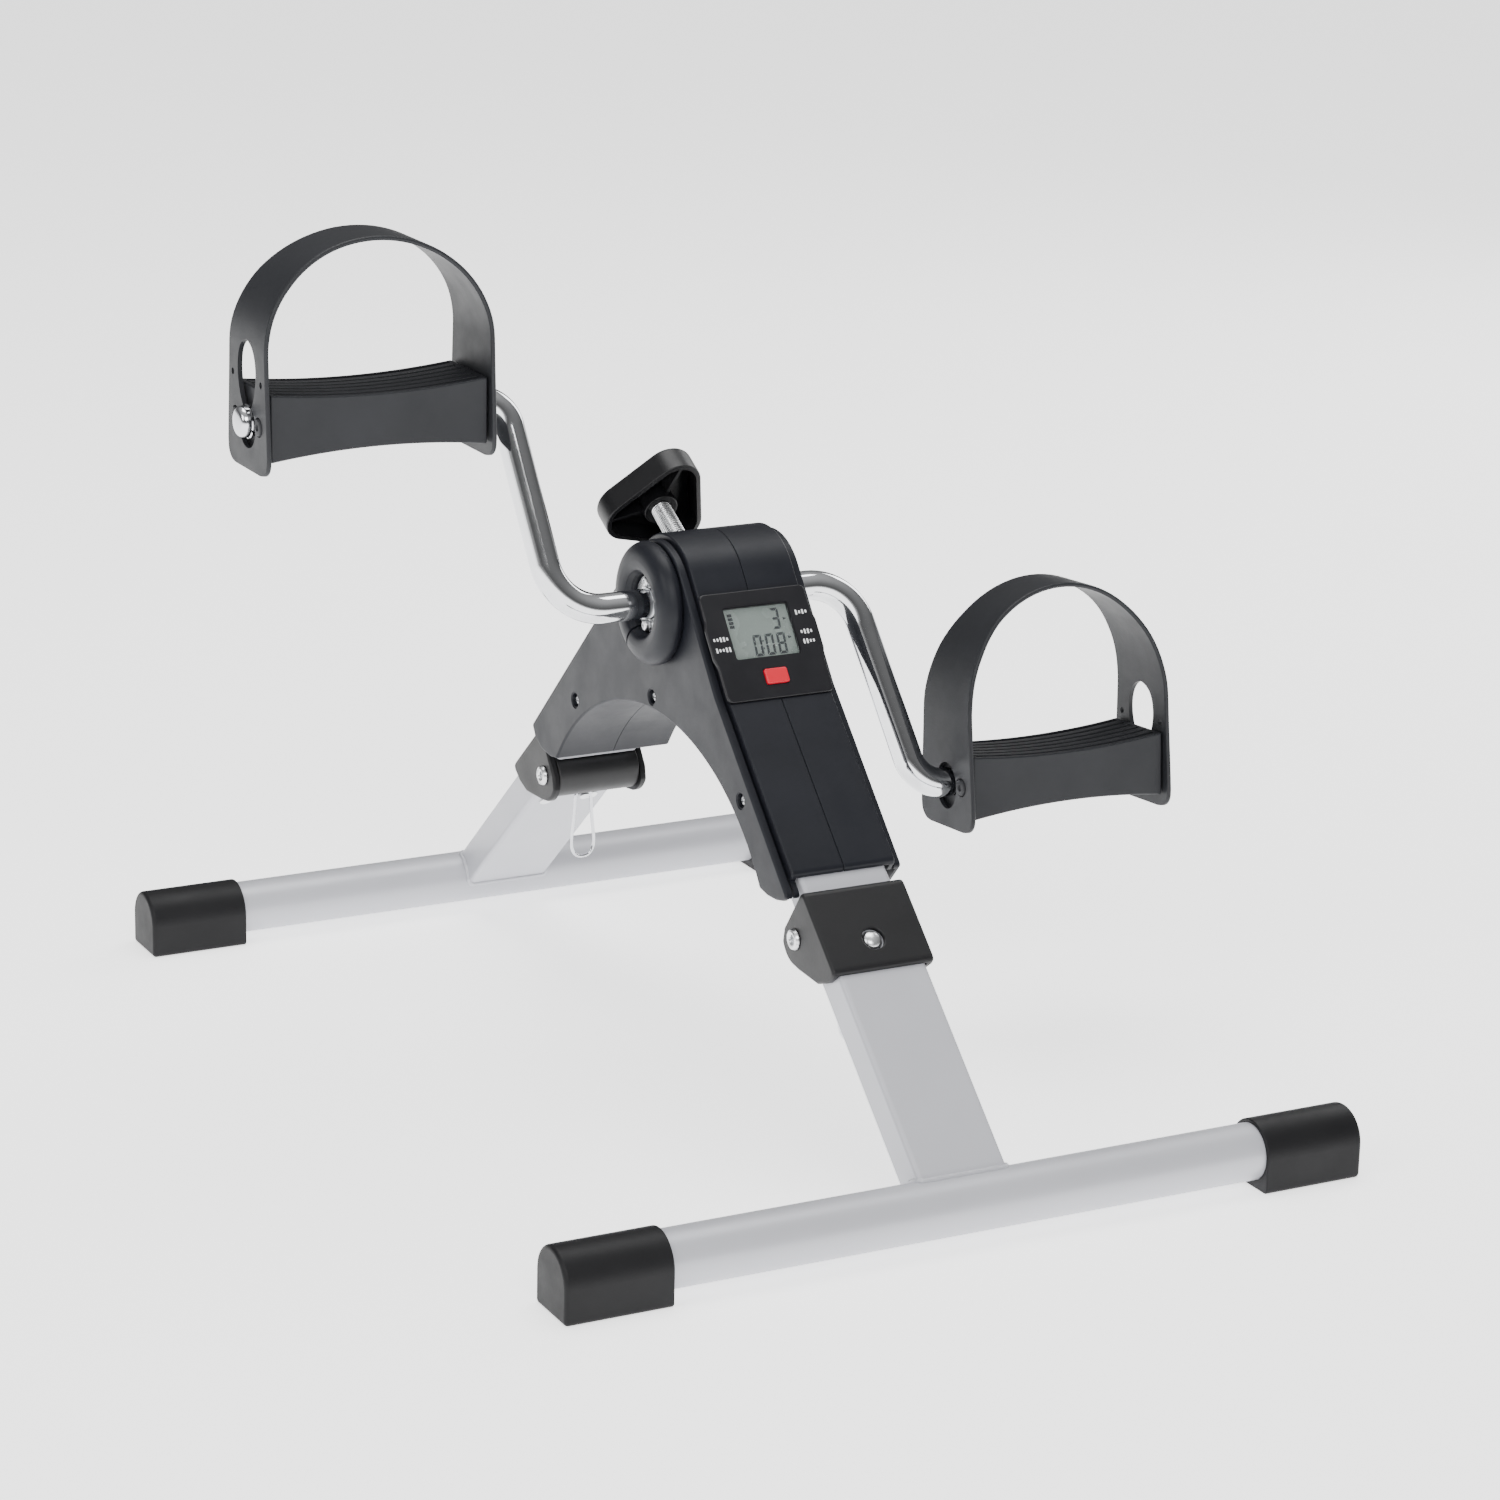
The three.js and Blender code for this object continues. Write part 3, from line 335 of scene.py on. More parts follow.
# ------------ materials
class Nodes:
    """Short names for making a node material."""

    def __init__(self, name):
        self.material = bpy.data.materials.new(name)
        self.material.use_nodes = True
        self.tree = self.material.node_tree
        self.shader = self.tree.nodes["Principled BSDF"]
        self.place = self.add("ShaderNodeTexCoord").outputs["Object"]

    def add(self, kind, **inputs):
        node = self.tree.nodes.new(kind)
        for name, value in inputs.items():
            self.put(node.inputs[name.replace("_", " ")], value)
        return node

    def put(self, socket, value):
        if isinstance(value, bpy.types.NodeSocket):
            self.tree.links.new(value, socket)
        else:
            socket.default_value = value

    def noise(self, scale, detail=2.0, roughness=0.5):
        return self.add("ShaderNodeTexNoise", Vector=self.place, Scale=scale, Detail=detail,
                        Roughness=roughness).outputs["Fac"]

    def cells(self, scale):
        return self.add("ShaderNodeTexVoronoi", Vector=self.place, Scale=scale).outputs["Distance"]

    def ranged(self, value, low, high, frm=0.3, to=0.7):
        node = self.add("ShaderNodeMapRange")
        for index, number in enumerate((value, frm, to, low, high)):
            self.put(node.inputs[index], number)
        return node.outputs[0]

    def mixed(self, factor, a, b):
        node = self.tree.nodes.new("ShaderNodeMix")
        node.data_type = "RGBA"
        self.put(node.inputs[0], factor)
        self.put(node.inputs[6], (*a, 1.0) if isinstance(a, tuple) else a)
        self.put(node.inputs[7], (*b, 1.0) if isinstance(b, tuple) else b)
        return node.outputs[2]

    def bump(self, height, strength, distance, under=None):
        node = self.add("ShaderNodeBump", Height=height, Strength=strength, Distance=distance)
        if under is not None:
            self.put(node.inputs["Normal"], under)
        return node.outputs["Normal"]

    def set(self, **inputs):
        for name, value in inputs.items():
            self.put(self.shader.inputs[name.replace("_", " ")], value)
        return self.material


def shade(color, factor):
    return tuple(min(1.0, c * factor) for c in color)


def moulded(name, color, roughness, grain=2600, depth=0.00006, spread=0.12, specular=0.5):
    """Moulded plastic or rubber: a fine spark-eroded grain, and slow changes in tone and gloss."""
    n = Nodes(name)
    tone = n.noise(22, 4, 0.6)
    fine = n.noise(grain, 2, 0.6)
    color_out = n.mixed(n.ranged(tone, 0, 1), shade(color, 1 - spread), shade(color, 1 + spread))
    gloss = n.ranged(n.noise(60, 5, 0.6), roughness - 0.05, roughness + 0.06)
    wavy = n.bump(n.noise(38, 1), 0.12, 0.0006)
    return n.set(Base_Color=color_out, Roughness=gloss, Specular_IOR_Level=specular,
                 Normal=n.bump(fine, 0.35, depth, wavy))


def painted(name, color, roughness, metallic=0.0, peel=620, specular=0.5):
    """Powder coat: orange peel over a faint fleck, with a little uneven gloss."""
    n = Nodes(name)
    fleck = n.ranged(n.noise(3200, 2, 0.7), 0, 1, 0.35, 0.65)
    tone = n.mixed(n.ranged(n.noise(9, 3), 0, 1), shade(color, 0.975), shade(color, 1.02))
    color_out = n.mixed(n.ranged(fleck, 0.0, 0.16, 0, 1), tone, shade(color, 1.1))
    gloss = n.ranged(n.noise(45, 4, 0.6), roughness - 0.04, roughness + 0.05)
    peel_out = n.bump(n.noise(peel, 2, 0.5), 0.22, 0.00012)
    return n.set(Base_Color=color_out, Roughness=gloss, Metallic=metallic,
                 Specular_IOR_Level=specular, Normal=n.bump(fleck, 0.05, 0.00004, peel_out))


def plated(name, color, roughness, spread, brushed=0.0):
    """Chrome or zinc plate: fine drawn lines, faint clouding and finger marks."""
    n = Nodes(name)
    clouds = n.noise(34, 5, 0.65)
    marks = n.ranged(n.noise(130, 3, 0.7), 0, 1, 0.45, 0.75)
    gloss = n.ranged(clouds, roughness, roughness + spread)
    tint = n.mixed(n.ranged(marks, 0, 0.5, 0, 1), color, shade(color, 0.86))
    drawn = n.add("ShaderNodeMapping", Vector=n.place)
    drawn.inputs["Scale"].default_value = (40, 1800, 1800)
    lines = n.add("ShaderNodeTexNoise", Vector=drawn.outputs[0], Scale=1.0, Detail=3.0)
    return n.set(Base_Color=tint, Metallic=1.0, Roughness=gloss,
                 Normal=n.bump(lines.outputs["Fac"], brushed, 0.00003,
                               n.bump(n.noise(70, 2), 0.04, 0.0003)))


def clear_window():
    n = Nodes("lens_clear")
    haze = n.ranged(n.noise(90, 5, 0.7), 0.02, 0.09)
    tint = n.mixed(n.ranged(n.noise(30), 0, 1), (0.93, 0.97, 0.96), (0.98, 1.0, 0.99))
    return n.set(Base_Color=tint, Roughness=haze, Transmission_Weight=0.9, IOR=1.2, Alpha=0.15,
                 Normal=n.bump(n.noise(240, 3), 0.02, 0.0001))


def lcd_glass():
    n = Nodes("lcd_glass")
    tone = n.mixed(n.ranged(n.noise(26, 3), 0, 1), (0.150, 0.185, 0.170), (0.185, 0.215, 0.20))
    grid = n.cells(2500)
    return n.set(Base_Color=n.mixed(n.ranged(grid, 0, 0.12, 0, 1), tone, (0.12, 0.15, 0.135)),
                 Roughness=n.ranged(n.noise(60, 4), 0.22, 0.34),
                 Normal=n.bump(grid, 0.03, 0.00004))


def green_board():
    n = Nodes("board_lacquer")
    tracks = n.ranged(n.cells(420), 0, 1, 0.18, 0.24)
    return n.set(Base_Color=n.mixed(tracks, (0.02, 0.075, 0.035), (0.035, 0.15, 0.07)),
                 Roughness=n.ranged(n.noise(80, 4), 0.28, 0.42),
                 Normal=n.bump(tracks, 0.3, 0.00008))


def ink(name, color, roughness):
    n = Nodes(name)
    worn = n.ranged(n.noise(1500, 3, 0.7), 0, 0.35, 0.4, 0.8)
    return n.set(Base_Color=n.mixed(worn, color, shade(color, 0.8)),
                 Roughness=n.ranged(n.noise(300, 3), roughness - 0.06, roughness + 0.06),
                 Normal=n.bump(n.noise(900, 2), 0.1, 0.00004))


FINISHES = {
    "silver_paint": painted("silver_powder_coat", (0.50, 0.505, 0.54), 0.40, 0.2),
    "black_paint": painted("black_powder_coat", (0.010, 0.010, 0.011), 0.42, 0.0, 700, 0.3),
    "housing_plastic": moulded("housing_moulding", (0.009, 0.010, 0.014), 0.42, 2400, 0.00005,
                               specular=0.24),
    "hinge_plastic": moulded("hinge_moulding", (0.012, 0.012, 0.013), 0.42, specular=0.4),
    "pedal_plastic": moulded("pedal_moulding", (0.016, 0.017, 0.020), 0.48, 2000, 0.00007,
                             specular=0.3),
    "strap_rubber": moulded("strap_rubber_skin", (0.017, 0.018, 0.021), 0.46, 1700, 0.00007,
                            specular=0.3),
    "cap_rubber": moulded("cap_rubber_skin", (0.008, 0.008, 0.009), 0.50, 1800, 0.00007,
                          specular=0.22),
    "crank_chrome": plated("chrome_bar", (0.80, 0.81, 0.83), 0.06, 0.05, 0.05),
    "bright_chrome": plated("chrome_small", (0.72, 0.73, 0.76), 0.10, 0.08, 0.05),
    "zinc_steel": plated("zinc_plate", (0.82, 0.83, 0.84), 0.22, 0.12, 0.14),
    "knob_plastic": moulded("knob_moulding", (0.006, 0.006, 0.007), 0.38, depth=0.00004,
                            specular=0.4),
    "brake_lining": moulded("lining_compound", (0.06, 0.05, 0.04), 0.8, 1400, 0.0002, 0.3, 0.2),
    "display_plastic": moulded("display_moulding", (0.007, 0.007, 0.009), 0.34, 3000, 0.00003,
                               specular=0.4),
    "lens": clear_window(),
    "lcd": lcd_glass(),
    "circuit": green_board(),
    "button_red": moulded("button_moulding", (0.64, 0.006, 0.025), 0.36, 2600, 0.00003, 0.05),
}
WHITE_INK = ink("white_printing", (0.82, 0.83, 0.84), 0.5)
LCD_INK = ink("lcd_segments", (0.006, 0.010, 0.014), 0.4)

# The slot and the body of every CAD node.
SLOT_OF = {s["node"]: s["material_slot"] for s in frame["record"]["subparts"]}
BODY_OF = {n: b for b, nodes in frame["record"]["behaviour"]["bodies"].items() for n in nodes}


def finished(obj, slot_name, smooth=35, material=None):
    """Smooth shading away from real edges, and the finish of a slot."""
    mesh = obj.data
    mesh.materials.clear()
    mesh.materials.append(material or FINISHES[slot_name])
    mesh.shade_smooth()
    mesh.set_sharp_from_angle(angle=rad(smooth))
    normals = obj.modifiers.new("normals", "WEIGHTED_NORMAL")
    normals.keep_sharp = True
    return obj


def stand_for(obj, node, smooth=35):
    """The piece takes a CAD node's finish and body, and shows in its place."""
    finished(obj, SLOT_OF[node], smooth)
    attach(obj, BODY_OF[node])
    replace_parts(obj, node)
    return obj


def add_detail(obj, body, slot_name, material=None):
    """A piece that the CAD doesn't have, with its body and the slot it takes its finish from."""
    finished(obj, slot_name, material=material)
    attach(obj, body)
    return obj


# ------------ places
def shift(x, y, z):
    return Matrix.Translation((x, y, z))


def turn(degrees, axis):
    return Matrix.Rotation(rad(degrees), 4, axis)


def end_turn(end):
    """The rear end is the front one after half a turn."""
    return turn(180 if end == "rear" else 0, "Z")


def outwards(side):
    """Turns +X to point away from the middle on that side."""
    return turn(0 if side > 0 else 180, "Z")


def hinge_place(end):
    """A hinge, with X along its rivet, Z up the leg's slope and Y through the leg."""
    return end_turn(end) @ shift(0, -PIVOT_Y, PIVOT_Z) @ turn(LEG_SLOPE - 90, "X")


DISPLAY_PLACE = shift(0, DISPLAY_Y, DISPLAY_Z) @ turn(DISPLAY_SLOPE, "X")
CRANK_PLACE = shift(0, 0, CRANK_Z) @ turn(CRANK_ANGLE - 90, "X")
TENSION_PLACE = shift(KNOB_X, 0, CRANK_Z) @ turn(KNOB_ANGLE - 90, "X")
X_TO_Y = turn(90, "Z")
X_TO_MINUS_Y = turn(-90, "Z")
X_TO_Z = turn(-90, "Y")

SIDES = {"left": -1, "right": 1}
ENDS = ("front", "rear")

# ------------ housing covers
DISPLAY_EDGE = 90 + DISPLAY_SLOPE
REAR_EDGE = 45
# The arch between the feet, an ellipse.
ARCH_CENTRE_Z = 70
ARCH_HALF_Y = 118.9
ARCH_RISE = 100
ARCH_START = 28.4

# How far each layer of a cover reaches from the middle, and its wall.
SEAM_X = 0.15
BAND_X = 25.5
SIDE_X = 30
WALL = 2.4


def corner(angle_a, distance_a, angle_b, distance_b):
    """Where two lines meet, each at a distance from the crank, square to its angle."""
    a, b = rad(angle_a), rad(angle_b)
    det = math.sin(b - a)
    return (
        (distance_a * math.sin(b) - distance_b * math.sin(a)) / det,
        CRANK_Z + (distance_b * math.cos(a) - distance_a * math.cos(b)) / det,
    )


def cover_outline(front, front_edge, crown, rear, growth, front_foot, rear_foot, soft=0.0):
    """The side view of a layer: its slopes' distances from the crank, its crown and its feet."""
    rear_end = REAR_EDGE - math.degrees(math.acos(rear / crown))
    points = front_foot[::-1] + [corner(front_edge, front, DISPLAY_EDGE, crown)]
    points += arc(0, CRANK_Z, crown, crown, DISPLAY_EDGE, rear_end, 40)
    points += rear_foot
    points += arc(0, ARCH_CENTRE_Z, ARCH_HALF_Y + growth, ARCH_RISE + growth, ARCH_START,
                  180 - ARCH_START, 64)
    points = anticlockwise(points)
    return softened(points, soft) if soft else points


CROWN = 31
SIDE_CROWN = 28.6

# The ends of the front and rear slopes, as (y, z) points from the slope to the arch.
BAND_FOOT = [[(-127.4, 129.5), (-115.1, 115.8)], [(130.6, 133.7), (115.1, 115.8)]]
WALL_FOOT = [
    [(-130, 121), (-126, 118.3), (-120, 116.8), (-112, 116.4)],
    [(133, 127), (129.5, 121.5), (122, 117.6), (112, 116.4)],
]
RIGHT_WALL_FOOT = [[(-124.6, 126.4), (-115.1, 115.8)], WALL_FOOT[1]]
THIN_FOOT = [[(-143, 111.3), (-125, 95), (-110, 112)], [(150, 110.9), (125, 95), (110, 112)]]
NARROW_FOOT = [[(-143, 104.6), (-125, 95), (-110, 112)], [(150, 106.6), (125, 95), (110, 112)]]
GROOVE_FOOT = [[(-150, 95), (-100, 60)], [(160, 95), (100, 60)]]

BAND = cover_outline(23.2, 134.2, CROWN, 30.6, 0, *BAND_FOOT, soft=3)
SIDE_WALLS = {
    -1: cover_outline(21.2, 135, SIDE_CROWN, 28.4, 0, *WALL_FOOT, soft=2),
    1: cover_outline(21.2, 135, SIDE_CROWN, 28.4, 0, *RIGHT_WALL_FOOT, soft=2),
}
THIN_HOLLOW = cover_outline(21, 134.2, CROWN - WALL, 28.2, WALL, *THIN_FOOT)
NARROW_HOLLOW = cover_outline(18.8, 135, SIDE_CROWN - WALL, 26, WALL, *NARROW_FOOT)

# The cover screws, as (y, z).
SCREWS = {"front": (-85, 152), "rear": (85, 152), "middle": (4, 175.5)}


def along(side, inner, outer):
    """The two distances from the middle as X values on that side, lowest first."""
    return (-outer, -inner) if side < 0 else (inner, outer)


def cover_layer(name, outline, side, outer_x, outer_r, seam_r):
    low, high = along(side, SEAM_X, outer_x)
    rounding = (outer_r, seam_r) if side < 0 else (seam_r, outer_r)
    return prism(name, outline, low, high, "x", *rounding)


def cover(name, side):
    """Half of the housing: a raised band, a groove beside it, and a wall with screw posts."""
    shell = cover_layer(name, BAND, side, BAND_X, 0.9, 0.25)
    join(shell, cover_layer("wall", SIDE_WALLS[side], side, SIDE_X, 1.1, 0))
    groove = prism("groove", grown(SIDE_WALLS[side], 6), *along(side, BAND_X, BAND_X + 1))
    groove_core = prism("core", cover_outline(19.4, 135, SIDE_CROWN - 1.4, 27, -8, *GROOVE_FOOT),
                        *along(side, BAND_X - 0.5, BAND_X + 1.5))
    cut(groove, groove_core)
    cut(
        shell,
        groove,
        prism("wide", THIN_HOLLOW, *along(side, -1, BAND_X - WALL)),
        prism("narrow", NARROW_HOLLOW, *along(side, -1, SIDE_X - WALL)),
        prism("case", rounded_rect(-23, 23, -22.5, 21.5, 1), -9, 3, "z", matrix=DISPLAY_PLACE),
        prism("seat", rounded_rect(-28.3, 28.3, -26.6, 26.6, 1), -1.8, 9, "z",
              matrix=DISPLAY_PLACE),
        prism("crank_way", circle(20.3, 64, 0, CRANK_Z), *along(side, 25, 35)),
        hole(6, 32, 20, 40, "z", TENSION_PLACE),
    )
    posts = []
    ways = []
    for key, (y, z) in SCREWS.items():
        start = SEAM_X if key == "middle" else 21.8
        posts.append(prism("post", circle(4.8, 24, y, z), *along(side, start, 28.6)))
        way_end = 35 if side < 0 else BAND_X
        ways.append(prism("way", circle(1.9, 16, y, z), *along(side, -1, way_end)))
        if side < 0:
            ways.append(prism("head_way", circle(3.4, 32, y, z), -31, -26))
            rim = [(-30.2, 4.3), (-29.5, 3.6), (-29.5, 0), (-30.2, 0)]
            ways.append(turned("rim", rim, 32, shift(0, y, z)))
    join(shell, *posts)
    return cut(shell, *ways)


for side_name, side in SIDES.items():
    stand_for(cover(f"{side_name}_cover_skin", side), f"{side_name}_cover", 30)


def cross_recess(size, depth, matrix):
    """The tool that leaves a cross-shaped driver recess, along +X."""
    slim = size * 0.27
    bars = box("bar", -depth, depth, -size, size, -slim, slim, matrix)
    return join(bars, box("bar2", -depth, depth, -slim, slim, -size, size, matrix))


for key, (y, z) in SCREWS.items():
    head = [(-28.7, 0), (-28.6, 1.2), (-28.35, 2.1), (-27.8, 2.7), (-27.4, 2.8), (-26.3, 2.8)]
    shank = [(-26.3, 1.6), (23, 1.6), (25.2, 0)]
    screw = turned(f"{key}_cover_screw", head + shank, 32, shift(0, y, z))
    cut(screw, cross_recess(1.7, 1.1, shift(head[0][0], y, z) @ turn(20, "X")))
    stand_for(screw, f"cover_screw_{key}")

# ------------ boss rings and bearings
BOSS_BASE = 30.3

# The left boss stands out and the right one is nearly flush.
BOSSES = {
    "left": {"radius": 28.3, "face": 40, "bearing": 34},
    "right": {"radius": 25.6, "face": 31.6, "bearing": 27.8},
}


def boss_ring(name, place, radius, face):
    """A domed ring that rolls over a lip into the bearing's hole."""
    depth = face - BOSS_BASE
    lip = min(0.8, depth / 3)
    widest = (BOSS_BASE + 0.36 * depth, radius)
    outside = curve_points(
        ((BOSS_BASE, radius - 1.5), (BOSS_BASE + 0.1 * depth, radius), widest),
        (widest, (face - 0.05 * depth, radius - 1), (face, radius - 8)),
        ((face, radius - 8), (face, 17.8), (face - lip * 0.7, 16.3)),
        ((face - lip * 0.7, 16.3), (face - lip * 1.3, 15.3), (face - lip * 1.7, 15.3)),
        ((face - lip * 1.7, 15.3), (face - lip * 2.4, 15.0), (face - 0.3 * depth - lip, 13.6)),
    )
    profile = [(27, 13.6), (27, 20), (BOSS_BASE, 20)] + outside + [(27, 13.6)]
    return turned(name, profile, 96, place)


BOLTS = {"upper": 10.2, "lower": -10.2}

for side_name, side in SIDES.items():
    place = shift(0, 0, CRANK_Z) @ outwards(side)
    boss = BOSSES[side_name]
    ring = boss_ring(f"{side_name}_boss", place, boss["radius"], boss["face"])
    if side < 0:
        cut(ring, box("slit", 33.5, 42, -0.6, 0.6, -35, -12, place @ turn(-28, "X")))
    stand_for(ring, f"{side_name}_boss_ring", 40)
    face = boss["bearing"]
    profile = [
        (17, 7.3), (17, 13.8), (24.3, 13.8), (24.3, 17.5), (26.5, 17.5), (26.5, 13.1),
        (face - 0.6, 13.1), (face, 12.6), (face, 9), (face - 0.8, 8.4), (face - 0.8, 7.7),
        (face, 7.3), (17, 7.3),
    ]
    bearing = turned(f"{side_name}_bearing_ring", profile, 64, place)
    cut(bearing, *[hole(1.7, 16, 25.5, 40, "x", place, (0, dz)) for dz in BOLTS.values()])
    stand_for(bearing, f"{side_name}_bearing")
    for key, dz in BOLTS.items():
        at = place @ shift(0, 0, dz)
        head = [(26, 0), (26, 1.4), (face + 0.3, 1.4), (face + 0.3, 2.4), (face + 0.5, 2.5),
                (face + 1.9, 2.5), (face + 2.5, 2.1), (face + 2.8, 1.3), (face + 2.8, 0)]
        bolt = turned(f"{side_name}_{key}_bolt", head, 24, at)
        cut(bolt, hole(1.2, 6, face + 1.8, face + 4, "x", at))
        stand_for(bolt, f"{side_name}_bearing_bolt_{key}")

# ------------ display
case_half, case_height, bulge = 26.5, 26.2, 1.2
right_edge = [(case_half, -case_height), (case_half, -9.5), (case_half + bulge, -5),
              (case_half + bulge, 9), (case_half, 13.5), (case_half, case_height)]
case_outline = softened(right_edge + [(-u, v) for u, v in reversed(right_edge)], 3.2, 6, 10)
case = prism("display_bezel", case_outline, -1.5, 0, "z", 0.0, 0.7, DISPLAY_PLACE, 4)
join(case, box("case_body", -22.6, 22.6, -22.1, 21.1, -6.6, -1, DISPLAY_PLACE))
cut(
    case,
    box("hollow", -21.1, 21.1, -20.9, 19.6, -10, -1.6, DISPLAY_PLACE),
    prism("window", rounded_rect(-16.4, 15.4, -6.3, 18.3, 1), -5, 0.5, "z", matrix=DISPLAY_PLACE),
    prism("window_rim", rounded_rect(-16.9, 15.9, -6.8, 18.8, 1.4), -0.35, 0.5, "z",
          matrix=DISPLAY_PLACE),
    prism("button_way", rounded_rect(-5.8, 6.1, -19.9, -12.1, 1.2), -5, 0.5, "z",
          matrix=DISPLAY_PLACE),
)
stand_for(case, "display_case", 30)

lens = prism("display_window", rounded_rect(-16.1, 15.1, -6.0, 18.0, 0.8), -1.3, -0.45, "z",
             0.0, 0.12, DISPLAY_PLACE, 2)
stand_for(lens, "display_lens")
panel = prism("display_panel", rounded_rect(-17.5, 16.5, -8, 19.3, 0.4), -3.4, -1.9, "z",
              0.0, 0.15, DISPLAY_PLACE, 2)
stand_for(panel, "lcd_panel")

button = prism("reset_cap", rounded_rect(-5.5, 5.8, -19.6, -12.4, 1.1), -3.4, 1.2, "z",
               0.0, 0.7, DISPLAY_PLACE, 4)
join(button, box("foot", -7, 7.3, -20.6, -10.9, -3.4, -1.9, DISPLAY_PLACE))
stand_for(button, "reset_button", 50)


def flat_marks(name, shapes, level, thickness, slot_name, material):
    """Thin printed shapes on one level of the display, as one piece."""
    verts, faces = [], []
    for shape in shapes:
        rings = [[(u, v, w) for u, v in anticlockwise(shape)] for w in (level, level + thickness)]
        more, skin = lofted(rings)
        faces += [tuple(i + len(verts) for i in face) for face in skin]
        verts += more
    obj = solid(name, verts, faces, DISPLAY_PLACE)
    return add_detail(obj, "frame", slot_name, material)


# The bars of a digit, in a box one wide and one high.
SEGMENTS = {
    "a": [(0.06, 1.01), (0.94, 1.01), (0.70, 0.88), (0.30, 0.88)],
    "b": [(1.02, 0.98), (1.02, 0.53), (0.88, 0.51), (0.74, 0.56), (0.74, 0.87)],
    "c": [(1.02, 0.47), (1.02, 0.02), (0.74, 0.13), (0.74, 0.44), (0.88, 0.49)],
    "d": [(0.94, -0.01), (0.06, -0.01), (0.30, 0.12), (0.70, 0.12)],
    "e": [(-0.02, 0.02), (-0.02, 0.47), (0.12, 0.49), (0.26, 0.44), (0.26, 0.13)],
    "f": [(-0.02, 0.53), (-0.02, 0.98), (0.26, 0.87), (0.26, 0.56), (0.12, 0.51)],
    "g": [(0.14, 0.5), (0.30, 0.565), (0.70, 0.565), (0.86, 0.5), (0.70, 0.435), (0.30, 0.435)],
}
DIGITS = {"0": "abcdef", "3": "abcdg", "8": "abcdefg"}
DIGIT_WIDTH = 4.1
DIGIT_HEIGHT = 10.0
DIGIT_LEAN = 0.08
LOWER_ROW_Y = -5.1


def digit(char, x, y):
    def place(u, v):
        return (x + u * DIGIT_WIDTH + v * DIGIT_HEIGHT * DIGIT_LEAN, y + v * DIGIT_HEIGHT)

    return [[place(u, v) for u, v in SEGMENTS[s]] for s in DIGITS[char]]


def pointer(x, y):
    return [(x, y - 0.75), (x + 1.8, y), (x, y + 0.75)]


readout = digit("3", 6.2, 6.8)
for char, x in (("0", -5.7), ("0", 0.3), ("8", 6.2)):
    readout += digit(char, x, LOWER_ROW_Y)
readout += [circle(0.42, 12, x, y) for x, y in ((-0.4, 1.8), (-0.7, -1.7))]
readout += [pointer(12.4, 11.4), pointer(12.4, 2.3)]
readout += [rounded_rect(-14.5, -12.2, y, y + 1.45, 0.15, 2) for y in (9.2, 11.05, 12.9, 14.75)]
flat_marks("lcd_readout", readout, -1.9, 0.06, "lcd", LCD_INK)


# Rows of short and tall ticks, which stand where labels would be printed.
TICK_PITCH = 1.6
TICK_WIDTH = 0.85
TICK_HALF_HEIGHTS = {"i": 0.7, "I": 1.15}
TICK_ROWS = [(18.3, 12.9, "IiIi"), (18.3, 3.4, "iIIi"), (18.3, -1.3, "IIii"),
             (-25.3, 4.0, "iiIIi"), (-25.3, -1.1, "IiiII")]

labels = []
for x, y, ticks in TICK_ROWS:
    for i, tick in enumerate(ticks):
        u, half = x + i * TICK_PITCH, TICK_HALF_HEIGHTS[tick]
        labels.append(rounded_rect(u, u + TICK_WIDTH, y - half, y + half, 0.2, 2))
flat_marks("printed_marks", labels, 0.0, 0.05, "display_plastic", WHITE_INK)

# ------------ crank
CRANK_BAR_R = 6.9
SPINDLE_ROOT_X = 107.5

# Where an arm leaves the axle and where it meets its spindle, on each side.
LEFT_ROOT_X, LEFT_END_X = -79.5, -92.4
RIGHT_ROOT_X, RIGHT_END_X = 67, 90
BEND_RADII = (15, 26, 26, 18)

# A spindle's radius, from its shoulder to its chamfered tip.
SHOULDER = [(-1.2, CRANK_BAR_R), (-0.8, CRANK_BAR_R), (-0.3, 6.6), (0.2, 6.0), (0.6, 6.0)]
SPINDLE = [(SPINDLE_ROOT_X + d, r) for d, r in SHOULDER] + [(215.7, 6.0), (216.5, 5.2)]


def filleted(corners, bends, steps):
    """The path through the corners, each rounded to its own radius."""
    points = [Vector(corners[0])]
    for before, here, after, radius in zip(corners, corners[1:], corners[2:], bends):
        p = Vector(here)
        u = (Vector(before) - p).normalized()
        v = (Vector(after) - p).normalized()
        half = u.angle(v) / 2
        centre = p + (u + v).normalized() * (radius / math.sin(half))
        start = p + u * (radius / math.tan(half)) - centre
        end = p + v * (radius / math.tan(half)) - centre
        sweep = math.pi - 2 * half
        for k in range(steps + 1):
            a = math.sin(sweep * (1 - k / steps)) / math.sin(sweep)
            b = math.sin(sweep * k / steps) / math.sin(sweep)
            points.append(centre + start * a + end * b)
    points.append(Vector(corners[-1]))
    return points


def crank_bar():
    """One bent round bar: the left spindle and arm, the axle, and the right arm and spindle."""
    corners = [(-SPINDLE_ROOT_X, CRANK_THROW), (LEFT_END_X, CRANK_THROW), (LEFT_ROOT_X, 0),
               (RIGHT_ROOT_X, 0), (RIGHT_END_X, -CRANK_THROW), (SPINDLE_ROOT_X, -CRANK_THROW)]
    arms = filleted([(x, 0, z) for x, z in corners], BEND_RADII, 16)[1:-1]
    stations = [(Vector((-x, 0, CRANK_THROW)), r) for x, r in SPINDLE[::-1]]
    stations += [(p, CRANK_BAR_R) for p in arms]
    stations += [(Vector((x, 0, -CRANK_THROW)), r) for x, r in SPINDLE]
    path, radii = zip(*stations)
    return swept("crank_rod", path, radii, 48, CRANK_PLACE)


stand_for(crank_bar(), "crank_bar", 50)


